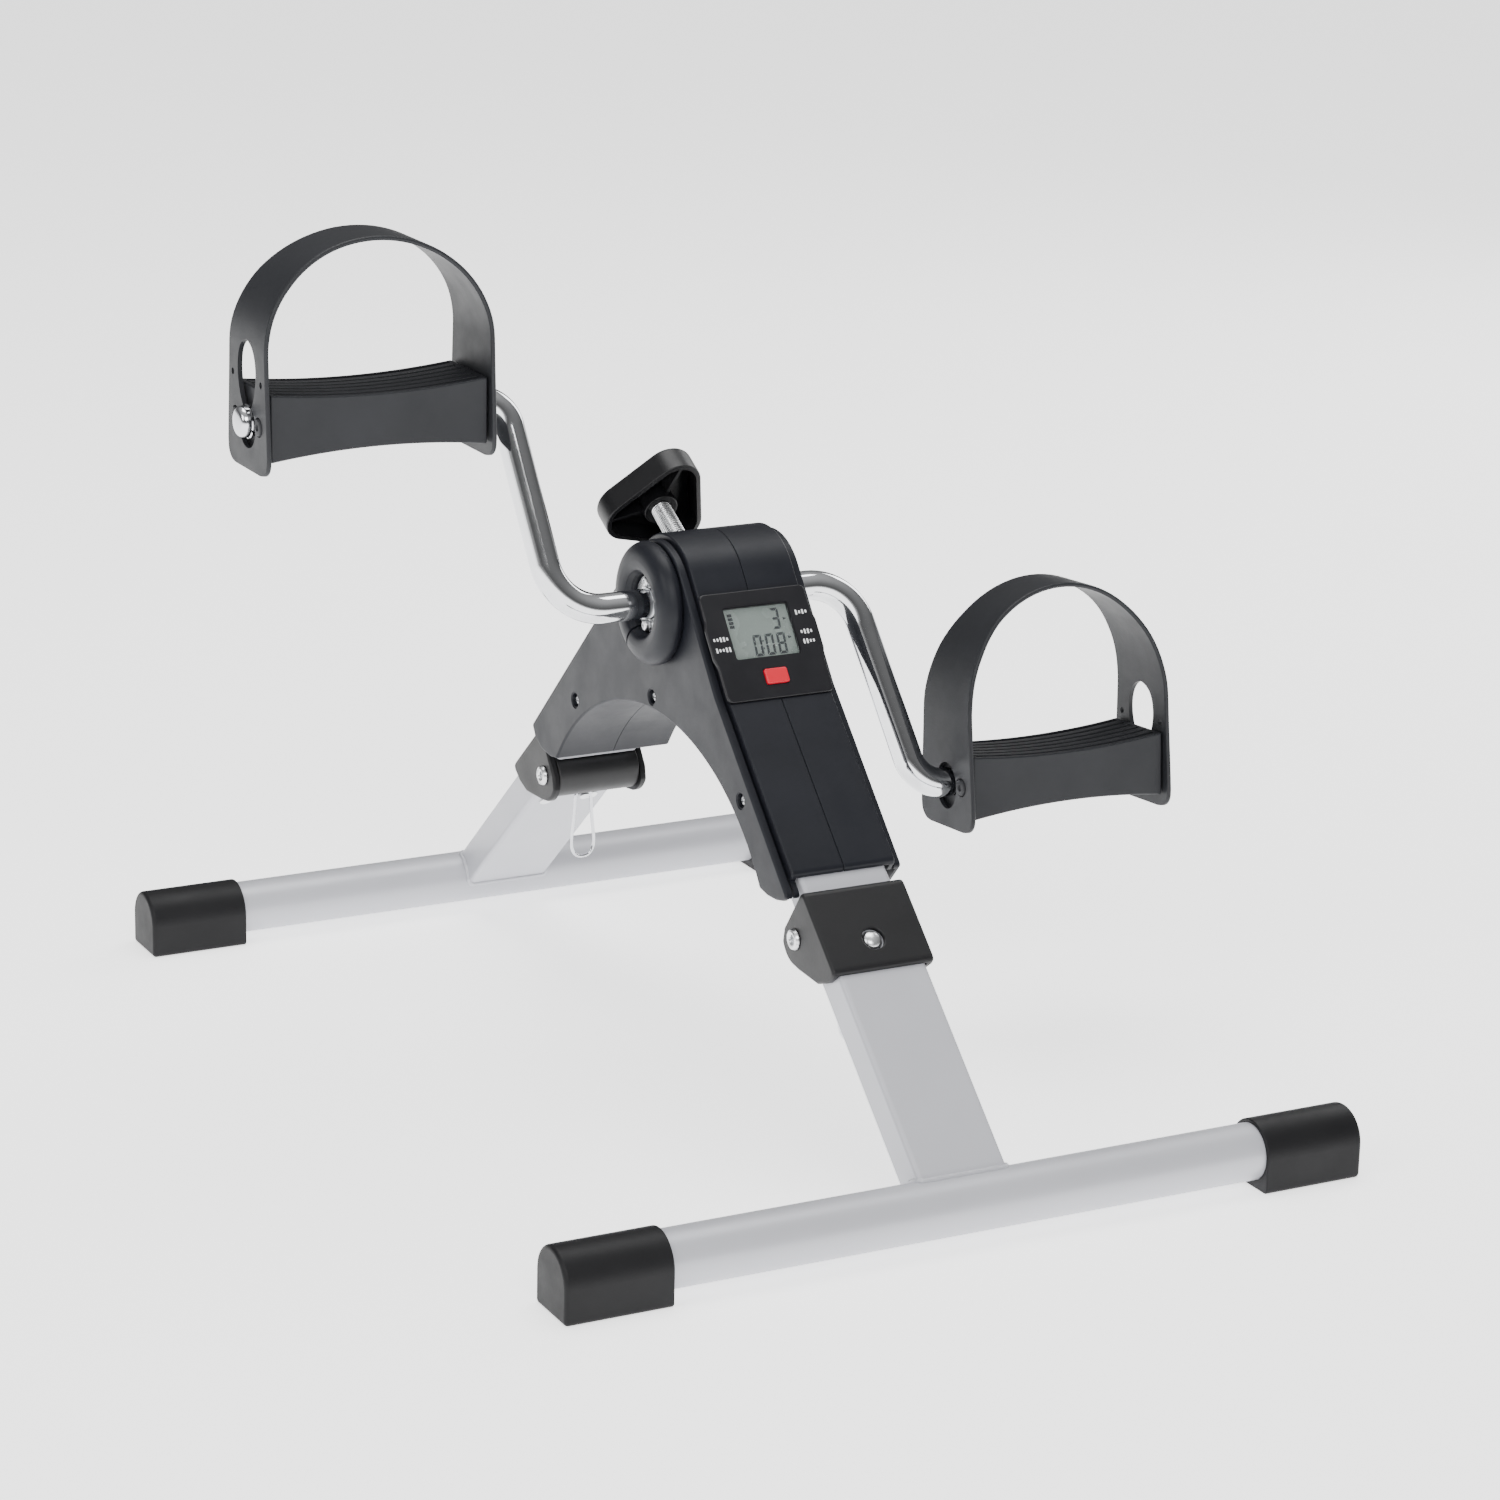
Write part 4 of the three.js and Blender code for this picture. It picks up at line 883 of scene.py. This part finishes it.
def spindle_nut(name, side):
    place = CRANK_PLACE @ shift(0, 0, -side * CRANK_THROW) @ outwards(side)
    place = place @ shift(1.5, 0, 0)
    dome = curve_points(((213.2, 7.0), (216.4, 7.0), (217.0, 5.0)),
                        ((217.0, 5.0), (217.6, 3.0), (217.6, 0)))
    profile = [(215.3, 0), (215.3, 6.3), (211, 6.3), (211, 7.6), (212.2, 7.6), (212.6, 7.0)] + dome
    nut = turned(name, profile, 48, place)
    notches = [box("notch", 210.5, 212.8, 7.0, 8.5, -0.7, 0.7, place @ turn(a, "X"))
               for a in range(0, 360, 45)]
    return cut(nut, *notches)


for side_name, side in SIDES.items():
    stand_for(spindle_nut(f"{side_name}_cap_nut", side), f"{side_name}_spindle_nut", 35)

# ------------ pedals
PEDAL_HALF_X = 51
PEDAL_HALF_Y = 20
PEDAL_HALF_Z = 15
TREAD_DIP = 3
UNDERSIDE_ARCH = 3.4
PEDAL_EDGE_R = 0.9
ACROSS = 24


def dipped(half, level, dip):
    """Points across a pedal from -half to half that sag by dip in the middle."""
    us = np.linspace(-half, half, ACROSS + 1)
    return [(u, level - dip * (1 - (u / half) ** 2)) for u in us]


def saddle(name, place):
    """The block of a pedal, from sections across it: its tread dips and its underside arches up."""
    half, edge = PEDAL_HALF_X, PEDAL_EDGE_R
    angles = [math.pi / 2 * k / 4 for k in range(5)]
    ends = [(half - edge * (1 - math.cos(a)), edge * (1 - math.sin(a))) for a in angles]
    middle = [(x, 0) for x in np.linspace(3 - half, half - 3, ACROSS + 1)]
    rings = []
    for x, by in [(-x, by) for x, by in ends] + middle + ends[::-1]:
        sag = 1 - (x / half) ** 2
        width = PEDAL_HALF_Y - by
        bottom = -PEDAL_HALF_Z + UNDERSIDE_ARCH * sag + by
        top = PEDAL_HALF_Z - TREAD_DIP * sag - by
        section = rounded_rect(-width, width, bottom, top, edge)
        rings.append([(x, y, z) for y, z in section])
    return solid(name, *lofted(rings), place)


def pedal_body(name, place):
    body = saddle(name, place)
    bed = dipped(48.4, 13.9, 2.8) + [(48.4, 30), (-48.4, 30)]
    cut(body, prism("bed", bed, -17.6, 17.6, "y", matrix=place))
    ribs = dipped(48.5, 14.9, 2.9) + dipped(48.5, 12.6, 2.9)[::-1]
    join(body, *[prism("rib", ribs, y - 2.1, y + 2.1, "y", 0.5, 0.5, place, 3)
                 for y in (-12.6, -6.3, 0, 6.3, 12.6)])
    pockets = [box("pocket", -46, 46, *along(k, 9.5, 17), -25, 7.5, place) for k in (-1, 1)]
    cut(body, *pockets, hole(6.5, 32, -60, 60, "x", place))
    studs = []
    profile = [(49, 0), (49, 4), (54.2, 4), (54.8, 3.6), (55, 3.0), (55, 1.7), (54.2, 1.2),
               (54.2, 0)]
    for k in (-1, 1):
        for m in (-1, 1):
            at = place @ shift(0, m * STUD_Y, 0) @ outwards(k)
            studs.append(turned("stud", profile, 24, at))
    return join(body, *studs)


# Height above the spindle, and half the band's width there.
STRAP_HALF_WIDTHS = [
    (-21.2, 15.5), (-20.8, 18.5), (-19.8, 20.6), (-18.4, 22.2), (-16.6, 23.3), (-14, 24.0),
    (0, 23.3), (20, 22.0), (40, 21.0), (62, 18.4), (76, 15.2), (88, 14.0),
]
STRAP_RISE = {"left": 46.9, "right": 57.4}
STRAP_REACH = 53.1
STRAP_ARCH_Z = 32
STRAP_HALF_THICKNESS = 1.1


def half_width_at(z):
    heights, widths = zip(*STRAP_HALF_WIDTHS)
    return float(np.interp(z, heights, widths))


def strap_ring(centre, out, half_width):
    """A cross-section of the band: a flat bar with round edges, thin along out."""
    points = []
    for sign, start in ((1, -90), (-1, 90)):
        for a in np.linspace(start, start + 180, 9):
            y = sign * (half_width - STRAP_HALF_THICKNESS) + STRAP_HALF_THICKNESS * math.cos(rad(a))
            d = STRAP_HALF_THICKNESS * math.sin(rad(a))
            points.append((centre[0] + out[0] * d, y, centre[1] + out[1] * d))
    return points


def pedal_strap(name, side, rise, place):
    """The band over a foot, up one side, over the arch and down the other, with its holes."""
    reach = STRAP_REACH
    upright = [((-reach, z), (-1, 0)) for z in
               (-21.2, -21, -20.6, -20, -19.2, -18.2, -16.8, -15.2, -12, -6, 0, 8, 16, 24)]
    stations = list(upright)
    for a in np.linspace(180, 0, 49):
        cos, sin = math.cos(rad(a)), math.sin(rad(a))
        out = Vector((cos / reach, sin / rise)).normalized()
        stations.append(((reach * cos, STRAP_ARCH_Z + rise * sin), tuple(out)))
    stations += [((-c[0], c[1]), (-o[0], o[1])) for c, o in upright[::-1]]
    rings = [strap_ring(c, o, half_width_at(c[1])) for c, o in stations]
    band = solid(name, *lofted(rings), place)
    outer = along(side, 45, 60)
    inner = along(-side, 45, 60)
    neck = curve_points(((4.9, 6.5), (7.6, 9.5), (9.0, 14)), ((9.0, 14), (10.9, 19), (10.5, 24)),
                        ((10.5, 24), (9.5, 34.5), (0, 36)))
    keyhole = arc(0, -2, 9.8, 9.8, 120, 420, 30) + neck[1:]
    keyhole += [(-u, v) for u, v in neck[1:-1][::-1]]
    oval = [(u * 0.9, v * 1.1 - 1.5) for u, v in circle(10, 48)]
    tools = [prism("keyhole", keyhole, *outer, matrix=place),
             prism("oval", oval, *inner, matrix=place)]
    for m in (-1, 1):
        tools.append(hole(4.4, 32, -60, 60, "x", place, (m * STUD_Y, 0)))
        tools.append(prism("hole", circle(1.5, 16, m * 16.5, 19), *outer, matrix=place))
    return cut(band, *tools)


for side_name, side in SIDES.items():
    arm = rad(CRANK_ANGLE)
    centre = shift(side * PEDAL_CENTRE_X, -side * CRANK_THROW * math.cos(arm),
                   CRANK_Z - side * CRANK_THROW * math.sin(arm))
    place = centre @ turn(-5 if side > 0 else 0, "X")
    stand_for(pedal_body(f"{side_name}_tread", place), f"{side_name}_pedal_body", 35)
    strap = pedal_strap(f"{side_name}_band", side, STRAP_RISE[side_name], place)
    stand_for(strap, f"{side_name}_pedal_strap", 50)

# ------------ tension knob
KNOB_BASE = 58.4
KNOB_TOP = 72.4
KNOB_CORNERS = (44.3, 164.3, 284.3)
KNOB_CORNER_OUT = 15


def knob_outline(corner_r):
    """A triangle with broad round corners."""
    points = []
    for angle in KNOB_CORNERS:
        cu, cv = KNOB_CORNER_OUT * math.cos(rad(angle)), KNOB_CORNER_OUT * math.sin(rad(angle))
        points += arc(cu, cv, corner_r, corner_r, angle - 60, angle + 60, 20)
    return points


knob = prism("tension_grip", knob_outline(12.4), KNOB_BASE, KNOB_TOP, "z", 0.7, 2.4,
             TENSION_PLACE, 5)
cut(knob, prism("pocket", knob_outline(10.0), KNOB_BASE - 1, KNOB_TOP - 3, "z",
                matrix=TENSION_PLACE))
rib = [(-0.8, 7), (0.8, 7), (0.8, 25.5), (-0.8, 25.5)]
join(knob,
     prism("hub", circle(8.2, 40), KNOB_BASE + 0.5, KNOB_TOP - 2, "z", 0.6, 0.0, TENSION_PLACE),
     *[prism("rib", rib, KNOB_BASE + 3, KNOB_TOP - 2, "z",
             matrix=TENSION_PLACE @ turn(a - 90, "Z")) for a in KNOB_CORNERS])
cut(knob, hole(5.1, 32, KNOB_BASE - 2, KNOB_TOP - 4, "z", TENSION_PLACE))
stand_for(knob, "tension_knob", 40)


def threaded_rod():
    """The tension screw, with a fine round thread along its bare length."""
    profile = [(14.5, 0), (14.5, 4.2)]
    pitch = 1.25
    for x in np.arange(15.0, 67.0, pitch):
        profile += [(x, 4.25), (x + pitch * 0.25, 4.7), (x + pitch * 0.5, 4.8),
                    (x + pitch * 0.75, 4.7)]
    return turned("tension_thread", profile + [(68.1, 4.3), (68.1, 0)], 32, TENSION_PLACE @ X_TO_Z)


stand_for(threaded_rod(), "tension_screw", 60)

# ------------ upper frame
def leg_section(half_x, y0, y1, r):
    return rounded_rect(-half_x, half_x, y0, y1, r)


UPPER_TUBE = leg_section(21.5, -16.7, -1.9, 2.2)
UPPER_BORE = leg_section(19.6, -14.8, -3.8, 1.2)
LEG_TUBE = leg_section(21.5, -18, -0.3, 2.4)
LEG_BORE = leg_section(19.6, -16.1, -2.2, 1.2)
TONGUE = leg_section(19.3, -15.8, -2.5, 1.0)
SENSOR_ANGLE = 100


def upper_frame():
    """The tube round the crank with a sloping tube to each bracket, and the holes through them."""
    shell = prism("upper_tube", circle(18, 64, 0, CRANK_Z), -24, 24, "x", 0.4, 0.4)
    for end in ENDS:
        place = hinge_place(end)
        tube = prism("stub", UPPER_TUBE, 0, 168, "z", matrix=place)
        cut(tube, hole(12.3, 48, -30, 30, "x", place),
            prism("stub_bore", UPPER_BORE, -5, 150, "z", matrix=place))
        join(shell, tube)
    ways = [hole(2.3, 16, -30, 30, "x", None, SCREWS[end]) for end in ENDS]
    return cut(shell, hole(14.2, 64, -30, 30, "x", None, (0, CRANK_Z)),
               hole(5.4, 32, 8, 24, "z", TENSION_PLACE),
               prism("sensor_way", circle(2.4, 16, 12, 0), 8, 24, "z",
                     matrix=shift(0, 0, CRANK_Z) @ turn(SENSOR_ANGLE - 90, "X")), *ways)


stand_for(upper_frame(), "upper_frame", 35)

# ------------ folding legs
def bracket(name, place):
    """The folded steel bracket: a block with a channel for the two tubes and its pins' holes."""
    side = [(-20.5, 12.5), (-20.5, -26.4), (-20.3, -28.2), (-19.4, -29.5), (-17, -29.8),
            (-10.8, -28.6), (-3.2, -24.6), (8, -11)]
    side += arc(0, 0, 12.8, 12.8, -38, 28, 16) + [(5.7, 9.4)]
    plate = prism(name, softened(side, 3.2, 5, 25), -25, 25, "x", 1.4, 1.4, place, 5)
    channel = prism("channel", rounded_rect(-21.8, 21.8, -18.3, 40, 1.0), -40, 30, "z",
                    matrix=place)
    return cut(
        plate, channel,
        hole(3.2, 32, -30, 30, "x", place),
        hole(5.3, 40, -25, -15, "y", place, (0, PIN_UP_LEG)),
        turned("pin_rim", [(20.2, 0), (20.2, 5.3), (20.6, 5.9), (21, 5.9), (21, 0)], 40,
               place @ shift(0, 0, PIN_UP_LEG) @ X_TO_MINUS_Y),
    )


def hinge_rivet(name, place):
    head = [(25.3, 3.0), (25.3, 4.8), (25.9, 4.8), (26.8, 4.3), (27.15, 3.5), (26.9, 2.6),
            (26.2, 2.1), (24.6, 2.0), (24.6, 0)]
    profile = [(-x, r) for x, r in head[::-1]] + head
    return turned(name, profile, 40, place)


def plug_rivet_holes(y0, place):
    return [hole(1.8, 16, y0, 5, "y", place, (k * PLUG_RIVET_X, PLUG_RIVET_UP)) for k in (-1, 1)]


def leg_tube(name, place):
    tube = prism(name, LEG_TUBE, -141, -2, "z", matrix=place)
    pin = place @ shift(0, 0, PIN_UP_LEG)
    tools = [
        prism("inside", LEG_BORE, -150, 0, "z", matrix=place),
        hole(13.0, 64, -30, 30, "x", place, (-BASE_OUT, BASE_UP)),
        hole(11.4, 48, -30, 30, "x", place),
        hole(4.8, 40, -25, -10, "y", pin),
        hole(2.9, 24, -10, 5, "y", pin),
    ]
    return cut(tube, *tools, *plug_rivet_holes(-8, place))


def weld_bead(name, place):
    """The weld round the foot of the leg, a rippled bead where the two tubes meet."""
    path = []
    radii = []
    dense = []
    for a, b in zip(LEG_TUBE, LEG_TUBE[1:] + LEG_TUBE[:1]):
        count = max(1, int((Vector(b) - Vector(a)).length))
        dense += [tuple(Vector(a).lerp(Vector(b), k / count)) for k in range(count)]
    for i, (x, y) in enumerate(dense):
        rise = math.sqrt(max(BASE_TUBE_R**2 - (y + BASE_OUT) ** 2, 1.0))
        path.append(Vector((x, y, BASE_UP + rise + 0.35)))
        radii.append(1.25 + 0.16 * math.sin(i * 2.1) + 0.08 * math.sin(i * 0.7))
    return swept(name, path, radii, 10, place, closed=True)


def knuckle(name, place):
    """The barrel that the leg turns on, with a tongue that plugs into the leg's tube."""
    barrel = prism(name, circle(11, 64), -21.4, 21.4, "x", 0.8, 0.8, place)
    join(barrel, prism("tongue", TONGUE, -40, -4, "z", matrix=place))
    tools = [hole(3.15, 32, -30, 30, "x", place),
             hole(4.8, 40, -25, 0, "y", place, (0, PIN_UP_LEG))]
    return cut(barrel, *tools, *plug_rivet_holes(-11, place))


def lock_pin(name, place):
    dome = [(18.3 + 2.6 * math.sin(a), 4.5 * math.cos(a)) for a in np.linspace(0, math.pi / 2, 10)]
    profile = [(-8, 0), (-8, 2.2), (-7.6, 2.6), (8, 2.6), (8, 4.5)] + dome
    pin = turned(name, profile, 40, place @ shift(0, 0, PIN_UP_LEG) @ X_TO_MINUS_Y)
    eye = hole(1.5, 20, -5, 5, "x", place, (5, PIN_UP_LEG))
    return cut(pin, eye)


def lock_spring(name, place):
    turns, wire, coil_r = 4, 0.5, 3.65
    start, end = 3.1, 7.1
    count = turns * 20
    path = []
    for k in range(count + 1):
        a = 2 * math.pi * turns * k / count
        path.append(Vector((coil_r * math.cos(a), -(start + (end - start) * k / count),
                            PIN_UP_LEG + coil_r * math.sin(a))))
    return swept(name, path, wire, 10, place)


def pull_loop(name, eye):
    """A closed wire loop that hangs from the eye of the lock pin."""
    half = [(0.35, 0.3), (3.0, -0.05), (4.1, -1.7), (4.5, -8), (5.2, -16), (6.0, -24), (5.5, -29.0),
            (3.4, -32.1), (0, -33)]
    points = [(x, 0, z) for x, z in half] + [(-x, 0, z) for x, z in half[-2::-1]]
    return swept(name, spline(points, 6), 0.8, 16, shift(*eye))


for end in ENDS:
    place = hinge_place(end)
    stand_for(bracket(f"{end}_hinge_bracket", place), f"{end}_bracket", 30)
    stand_for(hinge_rivet(f"{end}_pivot", place), f"{end}_hinge_rivet", 30)
    stand_for(leg_tube(f"{end}_leg_bar", place), f"{end}_leg_tube", 30)
    add_detail(weld_bead(f"{end}_weld", place), BODY_OF[f"{end}_leg_tube"], "silver_paint")
    stand_for(knuckle(f"{end}_hinge_plug", place), f"{end}_knuckle", 35)
    for sign, key in ((-1, "a"), (1, "b")):
        head = [(-9, 0), (-9, 1.5), (0, 1.5), (0, 3.1), (0.45, 2.6), (0.85, 1.5), (1, 0)]
        at = place @ shift(sign * PLUG_RIVET_X, 0, PLUG_RIVET_UP) @ X_TO_Y
        stand_for(turned(f"{end}_plug_head_{key}", head, 24, at), f"{end}_plug_rivet_{key}")
    stand_for(lock_pin(f"{end}_pin_body", place), f"{end}_lock_pin", 35)
    coil = stand_for(lock_spring(f"{end}_coil", place), f"{end}_lock_spring", 60)
    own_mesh(coil)
    eye = place @ Vector((0, 5, PIN_UP_LEG))
    stand_for(pull_loop(f"{end}_wire_loop", eye), f"{end}_pull_loop", 60)

# ------------ base tubes and foot caps
def base_tube(name, place):
    end, shoulder, bore = BASE_TUBE_HALF, BASE_TUBE_HALF - 0.4, 11.2
    profile = [(-end, bore), (-end, 12.3), (-shoulder, BASE_TUBE_R), (shoulder, BASE_TUBE_R),
               (end, 12.3), (end, bore), (-end, bore)]
    return turned(name, profile, 96, place @ shift(0, 0, BASE_TUBE_Z))


def foot_cap(name, place):
    """A cap that is round over the tube and flat on the floor."""
    half, r = 14.45, 2.2
    outline = [(-half + r, 0), (half - r, 0)]
    outline += arc(half - r, r, r, r, -90, 0, 6)[1:]
    outline += arc(0, BASE_TUBE_Z, half, half, 0, 180, 40)
    outline += arc(-half + r, r, r, r, 180, 270, 6)[:-1]
    cap = prism(name, outline, 143, 192, "x", 0.7, 1.9, place, 5)
    return cut(cap, hole(13.0, 64, 140, 189.3, "x", place, (0, BASE_TUBE_Z)))


for end in ENDS:
    row = end_turn(end) @ shift(0, -BASE_TUBE_Y, 0)
    stand_for(base_tube(f"{end}_floor_tube", row), f"{end}_base_tube", 35)
    for side in (1, -1):
        world_side = side if end == "front" else -side
        side_name = "right" if world_side > 0 else "left"
        at = row @ outwards(side)
        stand_for(foot_cap(f"{end}_{side_name}_rubber_cap", at), f"{end}_{side_name}_foot_cap", 35)

# ------------ carried-over inner pieces
replaced = {n for o in bpy.data.objects for n in o.get("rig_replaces", [])}
for node_name, node in frame["nodes"].items():
    if node_name in replaced:
        continue
    edges = node.modifiers.new("edges", "BEVEL")
    edges.width = 0.2 * MM
    edges.segments = 2
    edges.limit_method = "ANGLE"
    edges.angle_limit = rad(40)
    if node.material_slots:
        node.material_slots[0].material = FINISHES[SLOT_OF[node_name]]
    else:
        node.data.materials.append(FINISHES[SLOT_OF[node_name]])

# ------------ stage, light and camera
def stage_floor():
    half = 6.0
    mesh = bpy.data.meshes.new("floor")
    mesh.from_pydata([(-half, -half, 0), (half, -half, 0), (half, half, 0), (-half, half, 0)], [],
                     [(0, 1, 2, 3)])
    obj = bpy.data.objects.new("floor", mesh)
    bpy.context.scene.collection.objects.link(obj)
    n = Nodes("pale_floor")
    pale = n.mixed(n.ranged(n.noise(3, 3), 0, 1), (0.90, 0.90, 0.90), (0.92, 0.92, 0.92))
    mesh.materials.append(n.set(Base_Color=pale, Roughness=0.9, Emission_Color=(1, 1, 1, 1),
                                Emission_Strength=1.6))


stage_floor()

BACKDROP = 7.0


def studio_world():
    """White to the camera, and to everything else a dimmer room with a dark floor line."""
    world = bpy.data.worlds.new("studio")
    bpy.context.scene.world = world
    world.use_nodes = True
    add, link = world.node_tree.nodes.new, world.node_tree.links.new
    background = world.node_tree.nodes["Background"]
    split = add("ShaderNodeSeparateXYZ")
    link(add("ShaderNodeTexCoord").outputs["Generated"], split.inputs[0])
    ramp = add("ShaderNodeValToRGB")
    link(split.outputs["Z"], ramp.inputs[0])
    stops = ((0.0, 0.5), (0.12, 0.10), (0.45, 0.22), (1.0, 0.6))
    ramp.color_ramp.elements[0].position = stops[0][0]
    ramp.color_ramp.elements[1].position = stops[-1][0]
    for height, _ in stops[1:-1]:
        ramp.color_ramp.elements.new(height)
    for element, (_, level) in zip(ramp.color_ramp.elements, stops):
        element.color = (level, level, level, 1)
    mix = add("ShaderNodeMix")
    mix.data_type = "RGBA"
    link(add("ShaderNodeLightPath").outputs["Is Camera Ray"], mix.inputs[0])
    link(ramp.outputs[0], mix.inputs[6])
    mix.inputs[7].default_value = (BACKDROP, BACKDROP, BACKDROP, 1)
    link(mix.outputs[2], background.inputs["Color"])
    background.inputs["Strength"].default_value = 1.0


studio_world()


def softbox(name, location, target, size, power):
    data = bpy.data.lights.new(name, "AREA")
    data.shape = "RECTANGLE"
    data.size, data.size_y = size
    data.energy = power
    lamp = bpy.data.objects.new(name, data)
    lamp.location = location
    lamp.rotation_mode = "QUATERNION"
    lamp.rotation_quaternion = (Vector(target) - Vector(location)).to_track_quat("-Z", "Y")
    bpy.context.scene.collection.objects.link(lamp)


softbox("key", (-0.7, -2.2, 1.7), (0, 0, 0.15), (1.3, 1.0), 34)
softbox("fill", (-1.9, -0.6, 1.3), (0, 0, 0.15), (1.0, 1.0), 16)
softbox("top", (0.2, 0.3, 2.3), (0, 0, 0.1), (1.8, 1.4), 40)
softbox("rim", (1.8, 0.9, 1.0), (0, 0, 0.2), (0.8, 1.2), 14)

CAMERA_AT = Vector((-0.8840, -1.7095, 0.7370))
LOOKS_AT = Vector((-0.0363, 0.0, 0.1562))
ROLL = 0.906
camera_data = bpy.data.cameras.new("camera")
camera = bpy.data.objects.new("camera", camera_data)
camera.location = CAMERA_AT
camera.rotation_mode = "QUATERNION"
facing = (LOOKS_AT - CAMERA_AT).to_track_quat("-Z", "Y")
camera.rotation_quaternion = facing @ Matrix.Rotation(rad(ROLL), 3, "Z").to_quaternion()
camera_data.sensor_width = 36
camera_data.lens = 105.33
camera_data.shift_x = 0.0719
camera_data.shift_y = -0.0057
camera_data.clip_start = 0.05
camera_data.clip_end = 40
bpy.context.scene.collection.objects.link(camera)
bpy.context.scene.camera = camera
